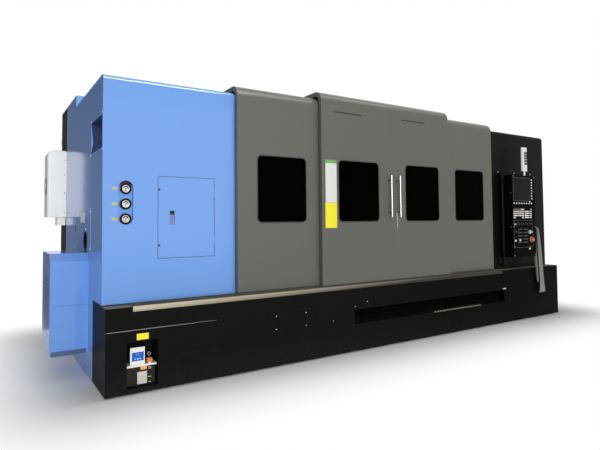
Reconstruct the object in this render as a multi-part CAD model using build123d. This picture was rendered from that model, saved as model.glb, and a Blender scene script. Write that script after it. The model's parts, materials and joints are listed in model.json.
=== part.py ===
"""A large slant bed turning centre, built as separate pieces.

Lengths are in millimetres. While building, x runs right from the left end, y runs back from the
fixed covers' front plane and z runs up from the floor. Each piece is saved in the shared frame,
whose origin is on the floor at the middle of the footprint.
"""

import os
from math import asin, cos, hypot, radians, sin

from build123d import *

os.makedirs("parts", exist_ok=True)

# Overall sizes
BASE_LENGTH = 6740.0
BASE_FRONT = 158.0
BASE_HEIGHT = 747.0
COVER_HEIGHT = 2780.0
REAR_RISE = 130.0
ROOF_DEPTH = 1475.0
COVER_DEPTH = 2170.0
CABINET_DEPTH = 480.0
END_LEDGE = 30.0

# Sheet thicknesses and clearances
SHEET = 3.0
APRON_SHEET = 4.0
SEAT_GAP = 0.3
RUN_GAP = 0.05
FIT_GAP = 0.02
DOOR_GAP = 2.0
CUT = 10.0

# Base frame
PAD_HEIGHT = 12.0
PAD_RADIUS = 70.0
PAD_INSET = 160.0
PAD_COUNT = 5
FRAME_INSET = 60.0
FRAME_FRONT = 420.0
FRAME_BACK = 2100.0
FRAME_TOP = 430.0
FRAME_WALL = 40.0
FRAME_BAYS = 10
FRAME_ROWS = 3
DECK = 12.0
SILL_LEFT = 480.0
SILL_FRONT = -20.0
SILL_BACK = 60.0
SILL_BOTTOM = 330.0
SILL_WALL = 10.0
ARM_WIDTH = 40.0
ARM_COUNT = 7

# Front apron, coolant tank and lubricator niche
SKIRT_DEPTH = 400.0
TANK_LEFT = 2283.0
TANK_TOP = 305.0
TANK_BACK = 400.0
TANK_PAD_RADIUS = 30.0
TOE_LEFT = 2655.0
TOE_RIGHT = 5390.0
TOE_TOP = 472.0
TOE_DEPTH = 118.0
NICHE_LEFT = 176.0
NICHE_RIGHT = 443.0
NICHE_BOTTOM = 50.0
NICHE_TOP = 448.0
NICHE_DEPTH = 200.0
SEAM_LENGTH = 1000.0
SEAM_HEIGHT = 545.0
SEAM_WIDTH = 4.0
SEAM_DEPTH = 1.5
PLATE_PROUD = 2.0
PLATE_LEFT = 1590.0
PLATE_RIGHT = 2050.0
PLATE_BOTTOM = 340.0
PLATE_TOP = 550.0
LOW_PLATE_LEFT = 620.0
LOW_PLATE_RIGHT = 1010.0
LOW_PLATE_BOTTOM = 25.0
LOW_PLATE_TOP = 285.0
SHELF_HEIGHT = 222.0
SHELF_THICK = 16.0
SHELF_MARGIN = 5.0
PUMP_MARGIN = 16.0
PUMP_INSET = 34.0
PUMP_WIDTH = 125.0
PUMP_DEPTH = 150.0
PUMP_HEIGHT = 148.0
CAP_RADIUS = 26.0
CAP_HEIGHT = 42.0
CAP_INSET = 56.0
NECK_RADIUS = 18.0
NECK_HEIGHT = 12.0
JAR_BOTTOM = 62.0

# Slant bed, measured from the spindle axis: up the slope, and off it
SPINDLE_Y = 805.0
SPINDLE_Z = 1289.0
SLANT = radians(45.0)
BED_LEFT = 455.0
BED_RIGHT = 6400.0
BED_DROP = 560.0
WAY_HEIGHT = 40.0
BED_LOW = -440.0
BED_HIGH = 740.0
BED_BACK = 1800.0
TAIL_WAYS = ((-400.0, -300.0), (-160.0, -60.0))
LOW_WAY = (60.0, 180.0)
HIGH_WAY = (560.0, 680.0)
SCREW_UP = 370.0
SCREW_DROP = 540.0
SCREW_CHANNEL = 160.0
SCREW_CHANNEL_DEPTH = 60.0
BED_WALL = 70.0
BED_CORE_DROP = 690.0
BED_BAYS = 9
BED_RIB = 40.0
BED_RIB_HOLE = 120.0

# Headstock, spindle and bearings
HEAD_LEFT = 460.0
HEAD_RIGHT = 1190.0
HEAD_NOSE = 1240.0
HEAD_FOOT = (-420.0, 700.0)
HEAD_FOOT_THICK = 90.0
HEAD_WEB = (-300.0, 420.0)
HEAD_RADIUS = 250.0
HEAD_BORE = 150.0
REAR_BEARING = (500.0, 600.0, 160.0)
FRONT_BEARING = (1000.0, 1160.0, 180.0)
SPINDLE_LEFT = 240.0
SPINDLE_STEP = 620.0
SPINDLE_REAR_RADIUS = 100.0
SPINDLE_FRONT_RADIUS = 120.0
SPINDLE_BORE = 82.0
NOSE_RADIUS = 190.0
NOSE_GAP = 2.0
NOSE_LENGTH = 22.0

# Chuck, its cylinder and jaws
CHUCK_RADIUS = 305.0
CHUCK_LENGTH = 238.0
CHUCK_BORE = 84.0
CHUCK_CHAMFER = 12.0
SLOT_NECK = 50.0
SLOT_NECK_DEPTH = 38.0
SLOT_TEE = 80.0
SLOT_TEE_DEPTH = 37.0
SLOT_INNER = 100.0
JAW_COUNT = 3
JAW_INNER = 130.0
JAW_OUTER = 290.0
JAW_WIDTH = 90.0
JAW_STEP_RADIUS = 205.0
JAW_STEP_LENGTH = 60.0
CYLINDER_LEFT = 30.0
CYLINDER_COLLAR = 60.0
CYLINDER_COLLAR_RADIUS = 110.0
CYLINDER_RADIUS = 165.0
CYLINDER_FLANGE = 15.0
CYLINDER_FLANGE_RADIUS = 140.0
DRAW_TUBE_RADIUS = 78.0
DRAW_TUBE_BORE = 70.0
DRAW_TUBE_RIGHT = 1330.0

# Spindle motor and belt drive
MOTOR_Y = 950.0
MOTOR_Z = 650.0
MOTOR_LEFT = -290.0
MOTOR_RIGHT = 240.0
MOTOR_RADIUS = 190.0
MOTOR_FLANGE = 420.0
MOTOR_FLANGE_THICK = 22.0
MOTOR_FOOT_LEFT = 70.0
MOTOR_FOOT_RIGHT = 220.0
MOTOR_FOOT_WIDTH = 300.0
MOTOR_SHAFT_RADIUS = 40.0
MOTOR_SHAFT_LEFT = 150.0
PULLEY_LEFT = 300.0
PULLEY_RIGHT = 440.0
SPINDLE_PULLEY_RADIUS = 220.0
MOTOR_PULLEY_RADIUS = 125.0
BELT_INSET = 10.0
BELT_THICK = 10.0
MOTOR_COVER_OUT = 335.0
MOTOR_COVER_FRONT = 620.0
MOTOR_COVER_BACK = 1290.0
MOTOR_COVER_BOTTOM = 225.0
MOTOR_COVER_TOP = 1180.0
MOTOR_COVER_SLOPE = 80.0
MOTOR_HOLE_MARGIN = 25.0
MOTOR_COVER_ROUND = 15.0

# Headstock cover, left end cover, gauges and access door
HEAD_COVER_RIGHT = 1285.0
HEAD_COVER_LIFT = 10.0
COVER_TOP_RADIUS = 45.0
COVER_SIDE_RADIUS = 40.0
COVER_RETURN = 60.0
SPINDLE_WINDOW = 150.0
BAR_HOLE = 95.0
HATCH_FRONT = 530.0
HATCH_BACK = 1465.0
HATCH_BOTTOM = 1190.0
HATCH_TOP = 1610.0
POCKET_FRONT = 35.0
POCKET_BACK = 540.0
POCKET_BOTTOM = 2130.0
POCKET_TOP = 2425.0
POCKET_DEPTH = 130.0
POCKET_TAPER = 20.0
GAUGE_X = 198.0
GAUGE_HEIGHTS = (1502.0, 1635.0, 1771.0)
GAUGE_RADIUS = 49.0
GAUGE_FACE_RADIUS = 43.0
GAUGE_PROUD = 4.0
GAUGE_FACE_DEPTH = 5.0
GAUGE_DISH_WIDTH = 127.0
GAUGE_DISH_BOTTOM = 1450.0
GAUGE_DISH_TOP = 1844.0
GAUGE_DISH_DEPTH = 22.0
GAUGE_FLANGE = 12.0
ACCESS_LEFT = 484.0
ACCESS_RIGHT = 1037.0
ACCESS_BOTTOM = 1139.0
ACCESS_TOP = 1893.0
ACCESS_FLANGE = 20.0
ACCESS_HINGE_RADIUS = 3.0
ACCESS_HINGE_LENGTH = 60.0
ACCESS_HINGE_HEIGHTS = (1260.0, 1712.0)
ACCESS_LEAF = 22.0
ACCESS_LEAF_THICK = 2.0
LOCK_RADIUS = 11.0
LOCK_INSET = 14.0
LOCK_HEIGHTS = (1257.0, 1770.0)
LATCH_LEFT = 595.0
LATCH_RIGHT = 640.0
LATCH_BOTTOM = 1450.0
LATCH_TOP = 1576.0
LATCH_THICK = 8.0
LATCH_TIP = 4.0
LATCH_SINK = 8.0
LATCH_FINGER = 36.0
LATCH_PAN = 17.0
LATCH_PIN_RADIUS = 3.0
LATCH_PIN_UP = 9.0

# Bulkhead, rails and sliding covers
BULKHEAD_X = 1200.0
BULKHEAD_GAP = 4.0
RAIL_LEFT = 226.0
RAIL_RIGHT = 5336.0
RAIL_STRIP = 41.0
RAIL_BACK = 20.0
RIB = 6.0
LEAF_LIFT = 18.0
COVER_STEP = 65.0
DOOR_STEP = 130.0
COVER_RISE = 70.0
DOOR_RISE = 130.0
LEAF_RADIUS = 110.0
LEAF_RETURN = 50.0
LEAF_HEM = 25.0
COVER_REACH = 557.0
DOOR_REACH = 637.0
TOP_RAIL_LEFT = 260.0
TOP_RAIL_RIGHT = 5325.0
TOP_RAIL_MARGIN = 14.0
TOP_RAIL_RISE = 30.0
LEFT_COVER = (1258.0, 2290.0)
LEFT_DOOR = (2241.0, 3287.0)
RIGHT_DOOR = (3289.0, 4292.0)
RIGHT_COVER = (4230.0, 5286.0)
WINDOW_WIDTH = 595.0
WINDOW_BOTTOM = 1460.0
WINDOW_TOP = 2150.0
WINDOW_RADIUS = 50.0
WINDOW_LAP = 25.0
WINDOW_THICK = 8.0
WINDOW_GAP = 1.0
WINDOW_CENTRES = (1780.0, 2769.0, 3800.0, 4790.0)
SLIT_WIDTH = 400.0
SLIT_HEIGHT = 16.0
SLITS = ((2615.0, 2690.0), (3645.0, 2704.0))
HANDLE_XS = (3212.0, 3352.0)
HANDLE_BOTTOM = 1508.0
HANDLE_TOP = 2006.0
HANDLE_POST_INSET = 60.0
HANDLE_RADIUS = 13.0
HANDLE_POST_RADIUS = 10.0
HANDLE_REACH = 65.0
TONGUE_WIDTH = 22.0
TONGUE_BOTTOM = 1384.0
TONGUE_THICK = 6.0
TAIL_COVER_LEFT = 5250.0
ROOF_FRONT = 530.0
REAR_COVER_BOTTOM = 60.0
REAR_PANEL_COUNT = 4
REAR_PANEL_MARGIN = 70.0
REAR_PANEL_ROWS = ((160.0, 820.0), (900.0, 2700.0))
REAR_PANEL_ROUND = 25.0

# Operator pendant
PENDANT_LEFT = 5570.0
PENDANT_RIGHT = 6130.0
PENDANT_FRONT = 200.0
PENDANT_BACK = 20.0
PENDANT_LIFT = 173.0
PENDANT_TOP = 2120.0
PENDANT_ROUND = 10.0
PENDANT_CABLE = 35.0
POST_X = 5530.0
POST_Y = 60.0
POST_RADIUS = 25.0
POST_LIFT = 53.0
POST_TOP = 2150.0
POST_ARM = 30.0
POST_PLATE_LEFT = 5300.0
POST_PLATE_RIGHT = 6360.0
POST_PLATE_TOP = 2190.0
POST_PLATE_THICK = 12.0
LUG_RADIUS = 37.0
LUG_HEIGHT = 60.0
LUG_INSET = 40.0
SCREEN_LEFT = 5598.0
SCREEN_RIGHT = 5988.0
SCREEN_BOTTOM = 1752.0
SCREEN_TOP = 2070.0
SCREEN_RECESS = 6.0
SCREEN_THICK = 4.0
STOP_X = 6005.0
STOP_Z = 1170.0
STOP_RADIUS = 30.0
STOP_STEM_RADIUS = 12.0
STOP_HEAD = 22.0
STOP_STANDOFF = 12.0
STOP_DEPTH = 30.0
WHEEL_X = 5955.0
WHEEL_Z = 1283.0
WHEEL_RADIUS = 28.0
WHEEL_STEM_RADIUS = 8.0
WHEEL_THICK = 22.0
WHEEL_KNOB_RADIUS = 7.0
WHEEL_KNOB_LENGTH = 24.0
LAMP_X = 5899.0
LAMP_WIDTH = 106.0
LAMP_DEPTH = 36.0
LAMP_FOOT = 60.0
LAMP_FOOT_RADIUS = 15.0
LAMP_BOTTOM = 2185.0
LAMP_TOP = 2540.0
LAMP_ROUND = 8.0
LENS_COUNT = 3
LENS_PROUD = 3.0
LENS_GAP = 12.0
STRIP_BACK = 180.0
STRIP_THICK = 6.0
STRIP_FRONT_BAND = ((1320.0, 15.0, 30.0), (1250.0, 40.0, 62.0), (855.0, 80.0, 88.0), (370.0, 125.0, 152.0))
STRIP_REAR_BAND = ((1250.0, 20.0, 30.0), (1060.0, 20.0, 34.0), (740.0, 52.0, 44.0), (520.0, 84.0, 56.0))

# Carriage and turret
SADDLE_LEFT = 3150.0
SADDLE_RIGHT = 3950.0
SADDLE_FOOT = (30.0, 720.0)
SADDLE_FOOT_THICK = 90.0
SADDLE_TOP = (100.0, 1290.0)
SADDLE_TOP_THICK = 70.0
KEEPER_WIDTH = 25.0
KEEPER_DEPTH = 35.0
CROSS_RAIL_INSET = 80.0
CROSS_RAIL_WIDTH = 80.0
CROSS_RAIL_HEIGHT = 30.0
CROSS_RAIL_END = 10.0
CROSS_SLIDE = (630.0, 1250.0)
CROSS_SLIDE_INSET = 10.0
CROSS_SLIDE_THICK = 80.0
NUT_LENGTH = 140.0
NUT_WIDTH = 120.0
NUT_REACH = 50.0
SCREW_RADIUS = 30.0
SCREW_JOURNAL_RADIUS = 25.0
SCREW_BLOCK = 60.0
SCREW_LEFT = 1290.0
SCREW_RIGHT = 6330.0
TURRET_UP = 940.0
TURRET_HALF = 200.0
TURRET_RISE = 170.0
TURRET_LEFT = 3130.0
TURRET_RIGHT = 3700.0
TURRET_MOTOR_RADIUS = 120.0
TURRET_MOTOR_LENGTH = 180.0
TURRET_ROUND = 60.0
DISC_THICK = 168.0
DISC_RADIUS = 320.0
DISC_STATIONS = 12
DISC_SHAFT_RADIUS = 60.0
DISC_SHAFT_LENGTH = 160.0
DISC_CAP_RADIUS = 130.0
DISC_CAP_LENGTH = 30.0
HOLDER_LENGTH = 120.0
HOLDER_WIDTH = 90.0
HOLDER_HEIGHT = 65.0
SHANK_WIDTH = 32.0
SHANK_LENGTH = 95.0
BAR_RADIUS = 20.0
BAR_LENGTH = 80.0

# Tailstock
TAIL_LEFT = 5450.0
TAIL_RIGHT = 6250.0
TAIL_FOOT = (-430.0, -30.0)
TAIL_FOOT_THICK = 90.0
TAIL_BARREL_RADIUS = 140.0
TAIL_WEB_INSET = 30.0
TAIL_WEB_LOW = -300.0
TAIL_WEB_DROP = 200.0
QUILL_RADIUS = 90.0
QUILL_OUT = 80.0
QUILL_LENGTH = 720.0
CENTRE_RADIUS = 55.0
CENTRE_BODY = 120.0
CENTRE_TIP = 70.0
CENTRE_NECK_RADIUS = 40.0
CENTRE_SHANK_RADIUS = 30.0
CENTRE_SHANK = 110.0

# Electrical cabinet and panel cooler
CABINET_LENGTH = 2200.0
CABINET_PLINTH = 60.0
CABINET_PLINTH_INSET = 20.0
CABINET_POST = 40.0
CABINET_POST_DEPTH = 47.0
DOOR_STIFFENER = 20.0
DOOR_STIFFENER_INSET = 25.0
DRIVE_COUNT = 6
DRIVE_WIDTH = 200.0
DRIVE_DEPTH = 180.0
DRIVE_BOTTOM = 1300.0
DRIVE_TOP = 1900.0
HANDLE_BOSS = 24.0
HANDLE_BOSS_HEIGHT = 160.0
HANDLE_BOSS_INSET = 60.0
COOLER_OUT = 212.0
COOLER_INSET = 8.0
COOLER_WIDTH = 362.0
COOLER_BOTTOM = 1546.0
COOLER_TOP = 2370.0
COOLER_ROUND = 30.0
COOLER_TOP_ROUND = 70.0
COOLER_SLOT_LENGTH = 250.0
COOLER_SLOT_HEIGHT = 10.0
COOLER_SLOT_DEPTH = 8.0
COOLER_SLOT_PITCH = 24.0
COOLER_SLOT_COUNT = 6
COOLER_SLOT_BOTTOMS = (1600.0, 2120.0)
COOLER_TAB = 102.0
COOLER_TAB_WIDTH = 70.0
COOLER_TAB_DEPTH = 90.0

# Positions that follow from the sizes above
REAR_HEIGHT = COVER_HEIGHT + REAR_RISE
COVER_RIGHT = BASE_LENGTH - END_LEDGE
FOOTPRINT_MIDDLE = (COVER_DEPTH + CABINET_DEPTH - BASE_FRONT) / 2
HEAD_COVER_BOTTOM = BASE_HEIGHT + HEAD_COVER_LIFT
LEAF_BOTTOM = BASE_HEIGHT + LEAF_LIFT
POST_BOTTOM = BASE_HEIGHT + POST_LIFT
PENDANT_BOTTOM = BASE_HEIGHT + PENDANT_LIFT
LUG_BOTTOMS = (PENDANT_BOTTOM + LUG_INSET, PENDANT_TOP - 2 * LUG_HEIGHT)
COOLER_FRONT = COVER_DEPTH + COOLER_INSET
COOLER_BACK = COOLER_FRONT + COOLER_WIDTH
WAY_DROP = BED_DROP - WAY_HEIGHT
SADDLE_BOTTOM = -WAY_DROP + SEAT_GAP
SADDLE_MID = -WAY_DROP + SADDLE_FOOT_THICK
SADDLE_FACE = SADDLE_MID + SADDLE_TOP_THICK
CROSS_BOTTOM = SADDLE_FACE + CROSS_RAIL_HEIGHT + SEAT_GAP
CROSS_TOP = CROSS_BOTTOM + CROSS_SLIDE_THICK
CHUCK_LEFT = HEAD_NOSE + NOSE_LENGTH
CHUCK_RIGHT = CHUCK_LEFT + CHUCK_LENGTH
BED_FRONT = SPINDLE_Y + BED_LOW * cos(SLANT) + BED_DROP * sin(SLANT)
RAIL_TOP = LEAF_BOTTOM - SEAT_GAP
TOP_RAIL_TOP = COVER_HEIGHT + TOP_RAIL_RISE - SEAT_GAP
DISC_RIGHT = TURRET_LEFT - SEAT_GAP
DISC_LEFT = DISC_RIGHT - DISC_THICK
WINDOW_MIDDLE = (WINDOW_BOTTOM + WINDOW_TOP) / 2
WINDOW_HEIGHT = WINDOW_TOP - WINDOW_BOTTOM


def save(name, shape):
    """Write a piece in the shared frame."""
    export_step(Pos(-BASE_LENGTH / 2, -FOOTPRINT_MIDDLE, 0) * shape, f"parts/{name}.step")


def block(x0, x1, y0, y1, z0, z1):
    """A box between two corners."""
    middle = Pos((x0 + x1) / 2, (y0 + y1) / 2, (z0 + z1) / 2)
    return middle * Box(x1 - x0, y1 - y0, z1 - z0)


def rod_x(x0, x1, y, z, radius):
    """A cylinder along x."""
    return Pos((x0 + x1) / 2, y, z) * Rot(0, 90, 0) * Cylinder(radius, x1 - x0)


def rod_y(y0, y1, x, z, radius):
    """A cylinder along y."""
    return Pos(x, (y0 + y1) / 2, z) * Rot(90, 0, 0) * Cylinder(radius, y1 - y0)


def rod_z(z0, z1, x, y, radius):
    """A cylinder along z."""
    return Pos(x, y, (z0 + z1) / 2) * Cylinder(radius, z1 - z0)


def spin_rod(x0, x1, radius):
    """A cylinder on the spindle axis."""
    return rod_x(x0, x1, SPINDLE_Y, SPINDLE_Z, radius)


def prism(points, x0, x1):
    """An outline given as y and z, pulled along x."""
    outline = make_face(Polyline(*points, close=True))
    return extrude(Plane.YZ.offset(x0) * outline, x1 - x0)


def slope(up, off):
    """The y and z of a point up the slope from the spindle axis and off it."""
    y = SPINDLE_Y + up * cos(SLANT) - off * sin(SLANT)
    z = SPINDLE_Z + up * sin(SLANT) + off * cos(SLANT)
    return (y, z)


def slope_block(x0, x1, up, off0, off1):
    """A box that lies on the slope, between two distances up it and two off it."""
    low, high = up
    return prism([slope(low, off0), slope(high, off0), slope(high, off1), slope(low, off1)], x0, x1)


def slope_rod(x0, x1, up, off, radius):
    """A cylinder along x at a place on the slope."""
    y, z = slope(up, off)
    return rod_x(x0, x1, y, z, radius)


def edge_at(shape, axis, y, z):
    """The edge along an axis that passes nearest to a y and z."""
    edges = shape.edges().filter_by(axis)
    return min(edges, key=lambda e: hypot(e.center().Y - y, e.center().Z - z))


def upright_at(shape, x, y):
    """The upright edge that passes nearest to an x and y."""
    edges = shape.edges().filter_by(Axis.Z)
    return min(edges, key=lambda e: hypot(e.center().X - x, e.center().Y - y))


def crosswise_at(shape, x, z):
    """The edge along y that passes nearest to an x and z."""
    edges = shape.edges().filter_by(Axis.Y)
    return min(edges, key=lambda e: hypot(e.center().X - x, e.center().Z - z))


def pane(x, y0, y1, width, height, radius):
    """A rounded rectangle at window height, pulled along y."""
    outline = Pos(x, WINDOW_MIDDLE) * RectangleRounded(width, height, radius)
    return extrude(Plane.XZ.offset(-y0) * outline, y0 - y1)


def corner_cover(x0, x1, z0):
    """A folded cover: front, roof, and a rounded right edge with a short return."""
    skins = []
    for inset in (0, SHEET):
        left = x0 - inset
        back = ROOF_DEPTH + inset
        right = x1 - inset
        top = COVER_HEIGHT - inset
        solid = block(left, right, inset, back, z0 - inset, top)
        upright = upright_at(solid, right, inset)
        solid = fillet(upright, COVER_SIDE_RADIUS - inset)
        front = edge_at(solid, Axis.X, inset, top)
        solid = fillet(front, COVER_TOP_RADIUS - inset)
        skins.append(solid)
    outer, inner = skins
    shoulder = COVER_HEIGHT - COVER_TOP_RADIUS
    gap = block(x1 - 2 * SHEET, x1 + CUT, COVER_RETURN, ROOF_DEPTH + CUT, z0 - CUT, shoulder)
    return outer - inner - gap


def hood(span, step, rise, reach, window):
    """A sliding leaf: front sheet, arched top edge, roof, rear drop, returns and window hole."""
    x0, x1 = span
    top = COVER_HEIGHT + rise
    drop = COVER_HEIGHT + TOP_RAIL_RISE
    back = reach
    front = -step
    inner = front + SHEET
    under = top - SHEET
    leaf = block(x0, x1, front, back, LEAF_BOTTOM, top)
    leaf = fillet(edge_at(leaf, Axis.X, front, top), LEAF_RADIUS)
    hollow = block(x0 - CUT, x1 + CUT, inner, back - SHEET, LEAF_BOTTOM - CUT, under)
    hollow = fillet(edge_at(hollow, Axis.X, inner, under), LEAF_RADIUS - SHEET)
    leaf -= hollow
    leaf -= block(x0 - CUT, x1 + CUT, back - 2 * SHEET, back + CUT, LEAF_BOTTOM - CUT, drop)
    rim_front = front + LEAF_RETURN
    rim_under = top - LEAF_RETURN
    rim_back = back - LEAF_HEM - 2 * TOP_RAIL_MARGIN
    bay = block(x0 - CUT, x1 + CUT, rim_front, back + CUT, LEAF_BOTTOM - CUT, rim_under)
    bay = fillet(edge_at(bay, Axis.X, rim_front, rim_under), LEAF_RADIUS - LEAF_RETURN)
    for edge in (x0, x1 - SHEET):
        rim = block(edge, edge + SHEET, inner, rim_back, LEAF_BOTTOM, under)
        rim = fillet(edge_at(rim, Axis.X, inner, under), LEAF_RADIUS - SHEET)
        leaf += rim - bay
        leaf += block(edge, edge + SHEET, rim_back, back - SHEET, under - LEAF_HEM, under)
    leaf += block(x0, x1, inner, front + LEAF_HEM, LEAF_BOTTOM, LEAF_BOTTOM + SHEET)
    leaf += block(x0, x1, back - SHEET - LEAF_HEM, back - SHEET, drop, drop + SHEET)
    leaf -= pane(window, front - CUT, inner + CUT, WINDOW_WIDTH, WINDOW_HEIGHT, WINDOW_RADIUS)
    return leaf


def glazing(step, window):
    """A window pane: a plate lapped behind the sheet and a raised middle that fills the hole."""
    inner = SHEET - step
    lap = 2 * WINDOW_LAP
    clear = 2 * WINDOW_GAP
    plate = pane(window, inner, inner + WINDOW_THICK, WINDOW_WIDTH + lap, WINDOW_HEIGHT + lap, WINDOW_RADIUS)
    middle = pane(
        window, inner - SHEET + WINDOW_GAP, inner, WINDOW_WIDTH - clear, WINDOW_HEIGHT - clear, WINDOW_RADIUS
    )
    return plate + middle


def pull_handle(x):
    """A tube handle on two posts."""
    face = -DOOR_STEP
    bar_y = face - HANDLE_REACH
    bar = rod_z(HANDLE_BOTTOM, HANDLE_TOP, x, bar_y, HANDLE_RADIUS)
    for z in (HANDLE_BOTTOM + HANDLE_POST_INSET, HANDLE_TOP - HANDLE_POST_INSET):
        bar += rod_y(bar_y, face, x, z, HANDLE_POST_RADIUS)
    return bar


def belt_outline(extra):
    """The outline of a belt run around both pulleys, at a distance outside them."""
    big = SPINDLE_PULLEY_RADIUS + extra
    small = MOTOR_PULLEY_RADIUS + extra
    dy = SPINDLE_Y - MOTOR_Y
    dz = SPINDLE_Z - MOTOR_Z
    span = hypot(dy, dz)
    along = (dy / span, dz / span)
    tilt = asin((big - small) / span)
    corners = []
    for side in (1, -1):
        across = (-along[1] * side, along[0] * side)
        ny = across[0] * cos(tilt) - along[0] * sin(tilt)
        nz = across[1] * cos(tilt) - along[1] * sin(tilt)
        ends = [(MOTOR_Y + small * ny, MOTOR_Z + small * nz), (SPINDLE_Y + big * ny, SPINDLE_Z + big * nz)]
        corners += ends if side == 1 else ends[::-1]
    left = PULLEY_LEFT + BELT_INSET
    right = PULLEY_RIGHT - BELT_INSET
    run = prism(corners, left, right)
    run += spin_rod(left, right, big)
    run += rod_x(left, right, MOTOR_Y, MOTOR_Z, small)
    return run


# Base frame: ribbed slab under the bed, deck and arms to the front sill, levelling pads
frame_right = BASE_LENGTH - FRAME_INSET
base_frame = block(FRAME_INSET, frame_right, FRAME_FRONT, FRAME_BACK, PAD_HEIGHT, FRAME_TOP)
bay = (frame_right - FRAME_INSET - FRAME_WALL) / FRAME_BAYS
row = (FRAME_BACK - FRAME_FRONT - FRAME_WALL) / FRAME_ROWS
for n in range(FRAME_BAYS):
    x0 = FRAME_INSET + FRAME_WALL + n * bay
    x1 = x0 + bay - FRAME_WALL
    for m in range(FRAME_ROWS):
        y0 = FRAME_FRONT + FRAME_WALL + m * row
        y1 = y0 + row - FRAME_WALL
        base_frame -= block(x0, x1, y0, y1, PAD_HEIGHT - CUT, FRAME_TOP - FRAME_WALL)
sill_right = BASE_LENGTH - APRON_SHEET
sill_top = BASE_HEIGHT - APRON_SHEET
sill = block(SILL_LEFT, sill_right, SILL_FRONT, SILL_BACK, SILL_BOTTOM, sill_top)
sill -= block(
    SILL_LEFT - CUT,
    sill_right + CUT,
    SILL_FRONT + SILL_WALL,
    SILL_BACK - SILL_WALL,
    SILL_BOTTOM + SILL_WALL,
    sill_top - SILL_WALL,
)
base_frame += sill
base_frame += block(SILL_LEFT, frame_right, SILL_BACK, FRAME_FRONT, FRAME_TOP - DECK, FRAME_TOP)
arm_step = (frame_right - SILL_LEFT - ARM_WIDTH) / (ARM_COUNT - 1)
for n in range(ARM_COUNT):
    x0 = SILL_LEFT + n * arm_step
    base_frame += block(x0, x0 + ARM_WIDTH, SILL_BACK, FRAME_FRONT, SILL_BOTTOM, FRAME_TOP - DECK)
pad_step = (frame_right - FRAME_INSET - 2 * PAD_INSET) / (PAD_COUNT - 1)
for n in range(PAD_COUNT):
    x = FRAME_INSET + PAD_INSET + n * pad_step
    for y in (FRAME_FRONT + FRAME_WALL / 2, FRAME_BACK - FRAME_WALL / 2):
        base_frame += rod_z(0, PAD_HEIGHT, x, y, PAD_RADIUS)
base_frame += rod_z(0, PAD_HEIGHT, BASE_LENGTH / 2, FOOTPRINT_MIDDLE, PAD_RADIUS)
save("base_frame", base_frame)

# Front apron: sheet front and ledge, end returns, toe recess, lubricator niche, bolted plates
front_inside = APRON_SHEET - BASE_FRONT
apron_low = TANK_TOP + DOOR_GAP
apron = block(0, TANK_LEFT - DOOR_GAP, -BASE_FRONT, front_inside, PAD_HEIGHT, BASE_HEIGHT)
apron += block(0, BASE_LENGTH, -BASE_FRONT, front_inside, apron_low, BASE_HEIGHT)
apron += block(0, BASE_LENGTH, -BASE_FRONT, SILL_BACK, BASE_HEIGHT - APRON_SHEET, BASE_HEIGHT)
apron += block(0, APRON_SHEET, -BASE_FRONT, SKIRT_DEPTH, PAD_HEIGHT, BASE_HEIGHT)
apron += block(sill_right, BASE_LENGTH, -BASE_FRONT, SKIRT_DEPTH, apron_low, BASE_HEIGHT)
skirt_inside = SKIRT_DEPTH - APRON_SHEET
frame_clear = FRAME_TOP + DOOR_GAP
apron += block(COVER_RIGHT, BASE_LENGTH, SILL_BACK, SKIRT_DEPTH, BASE_HEIGHT - APRON_SHEET, BASE_HEIGHT)
apron += block(COVER_RIGHT, BASE_LENGTH, skirt_inside, SKIRT_DEPTH, frame_clear, BASE_HEIGHT)
toe_back = TOE_DEPTH - BASE_FRONT
apron += block(
    TOE_LEFT - APRON_SHEET,
    TOE_RIGHT + APRON_SHEET,
    front_inside,
    toe_back + APRON_SHEET,
    apron_low,
    TOE_TOP + APRON_SHEET,
)
apron -= block(TOE_LEFT, TOE_RIGHT, -BASE_FRONT - CUT, toe_back, apron_low - CUT, TOE_TOP)
niche_back = NICHE_DEPTH - BASE_FRONT
apron += block(
    NICHE_LEFT - APRON_SHEET,
    NICHE_RIGHT + APRON_SHEET,
    front_inside,
    niche_back + APRON_SHEET,
    NICHE_BOTTOM - APRON_SHEET,
    NICHE_TOP + APRON_SHEET,
)
apron -= block(NICHE_LEFT, NICHE_RIGHT, -BASE_FRONT - CUT, niche_back, NICHE_BOTTOM, NICHE_TOP)
face = -BASE_FRONT
apron += block(PLATE_LEFT, PLATE_RIGHT, face - PLATE_PROUD, face, PLATE_BOTTOM, PLATE_TOP)
apron += block(LOW_PLATE_LEFT, LOW_PLATE_RIGHT, face - PLATE_PROUD, face, LOW_PLATE_BOTTOM, LOW_PLATE_TOP)
seam_top = SEAM_HEIGHT + SEAM_WIDTH
apron -= block(-CUT, SEAM_LENGTH, face - CUT, face + SEAM_DEPTH, SEAM_HEIGHT, seam_top)
save("front_apron", apron)

# Coolant tank: closed sheet tank on pads
tank = block(TANK_LEFT, BASE_LENGTH, -BASE_FRONT, TANK_BACK, PAD_HEIGHT, TANK_TOP)
tank -= block(
    TANK_LEFT + APRON_SHEET,
    BASE_LENGTH - APRON_SHEET,
    front_inside,
    TANK_BACK - APRON_SHEET,
    PAD_HEIGHT + APRON_SHEET,
    TANK_TOP - APRON_SHEET,
)
tank_pads = (TANK_LEFT + PAD_INSET, (TANK_LEFT + BASE_LENGTH) / 2, BASE_LENGTH - PAD_INSET)
for x in tank_pads:
    for y in (front_inside + 2 * TANK_PAD_RADIUS, TANK_BACK - 2 * TANK_PAD_RADIUS):
        tank += rod_z(0, PAD_HEIGHT, x, y, TANK_PAD_RADIUS)
    tank += block(x, x + ARM_WIDTH, TANK_BACK, FRAME_FRONT, TANK_TOP - ARM_WIDTH, TANK_TOP)
save("coolant_tank", tank)

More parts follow.
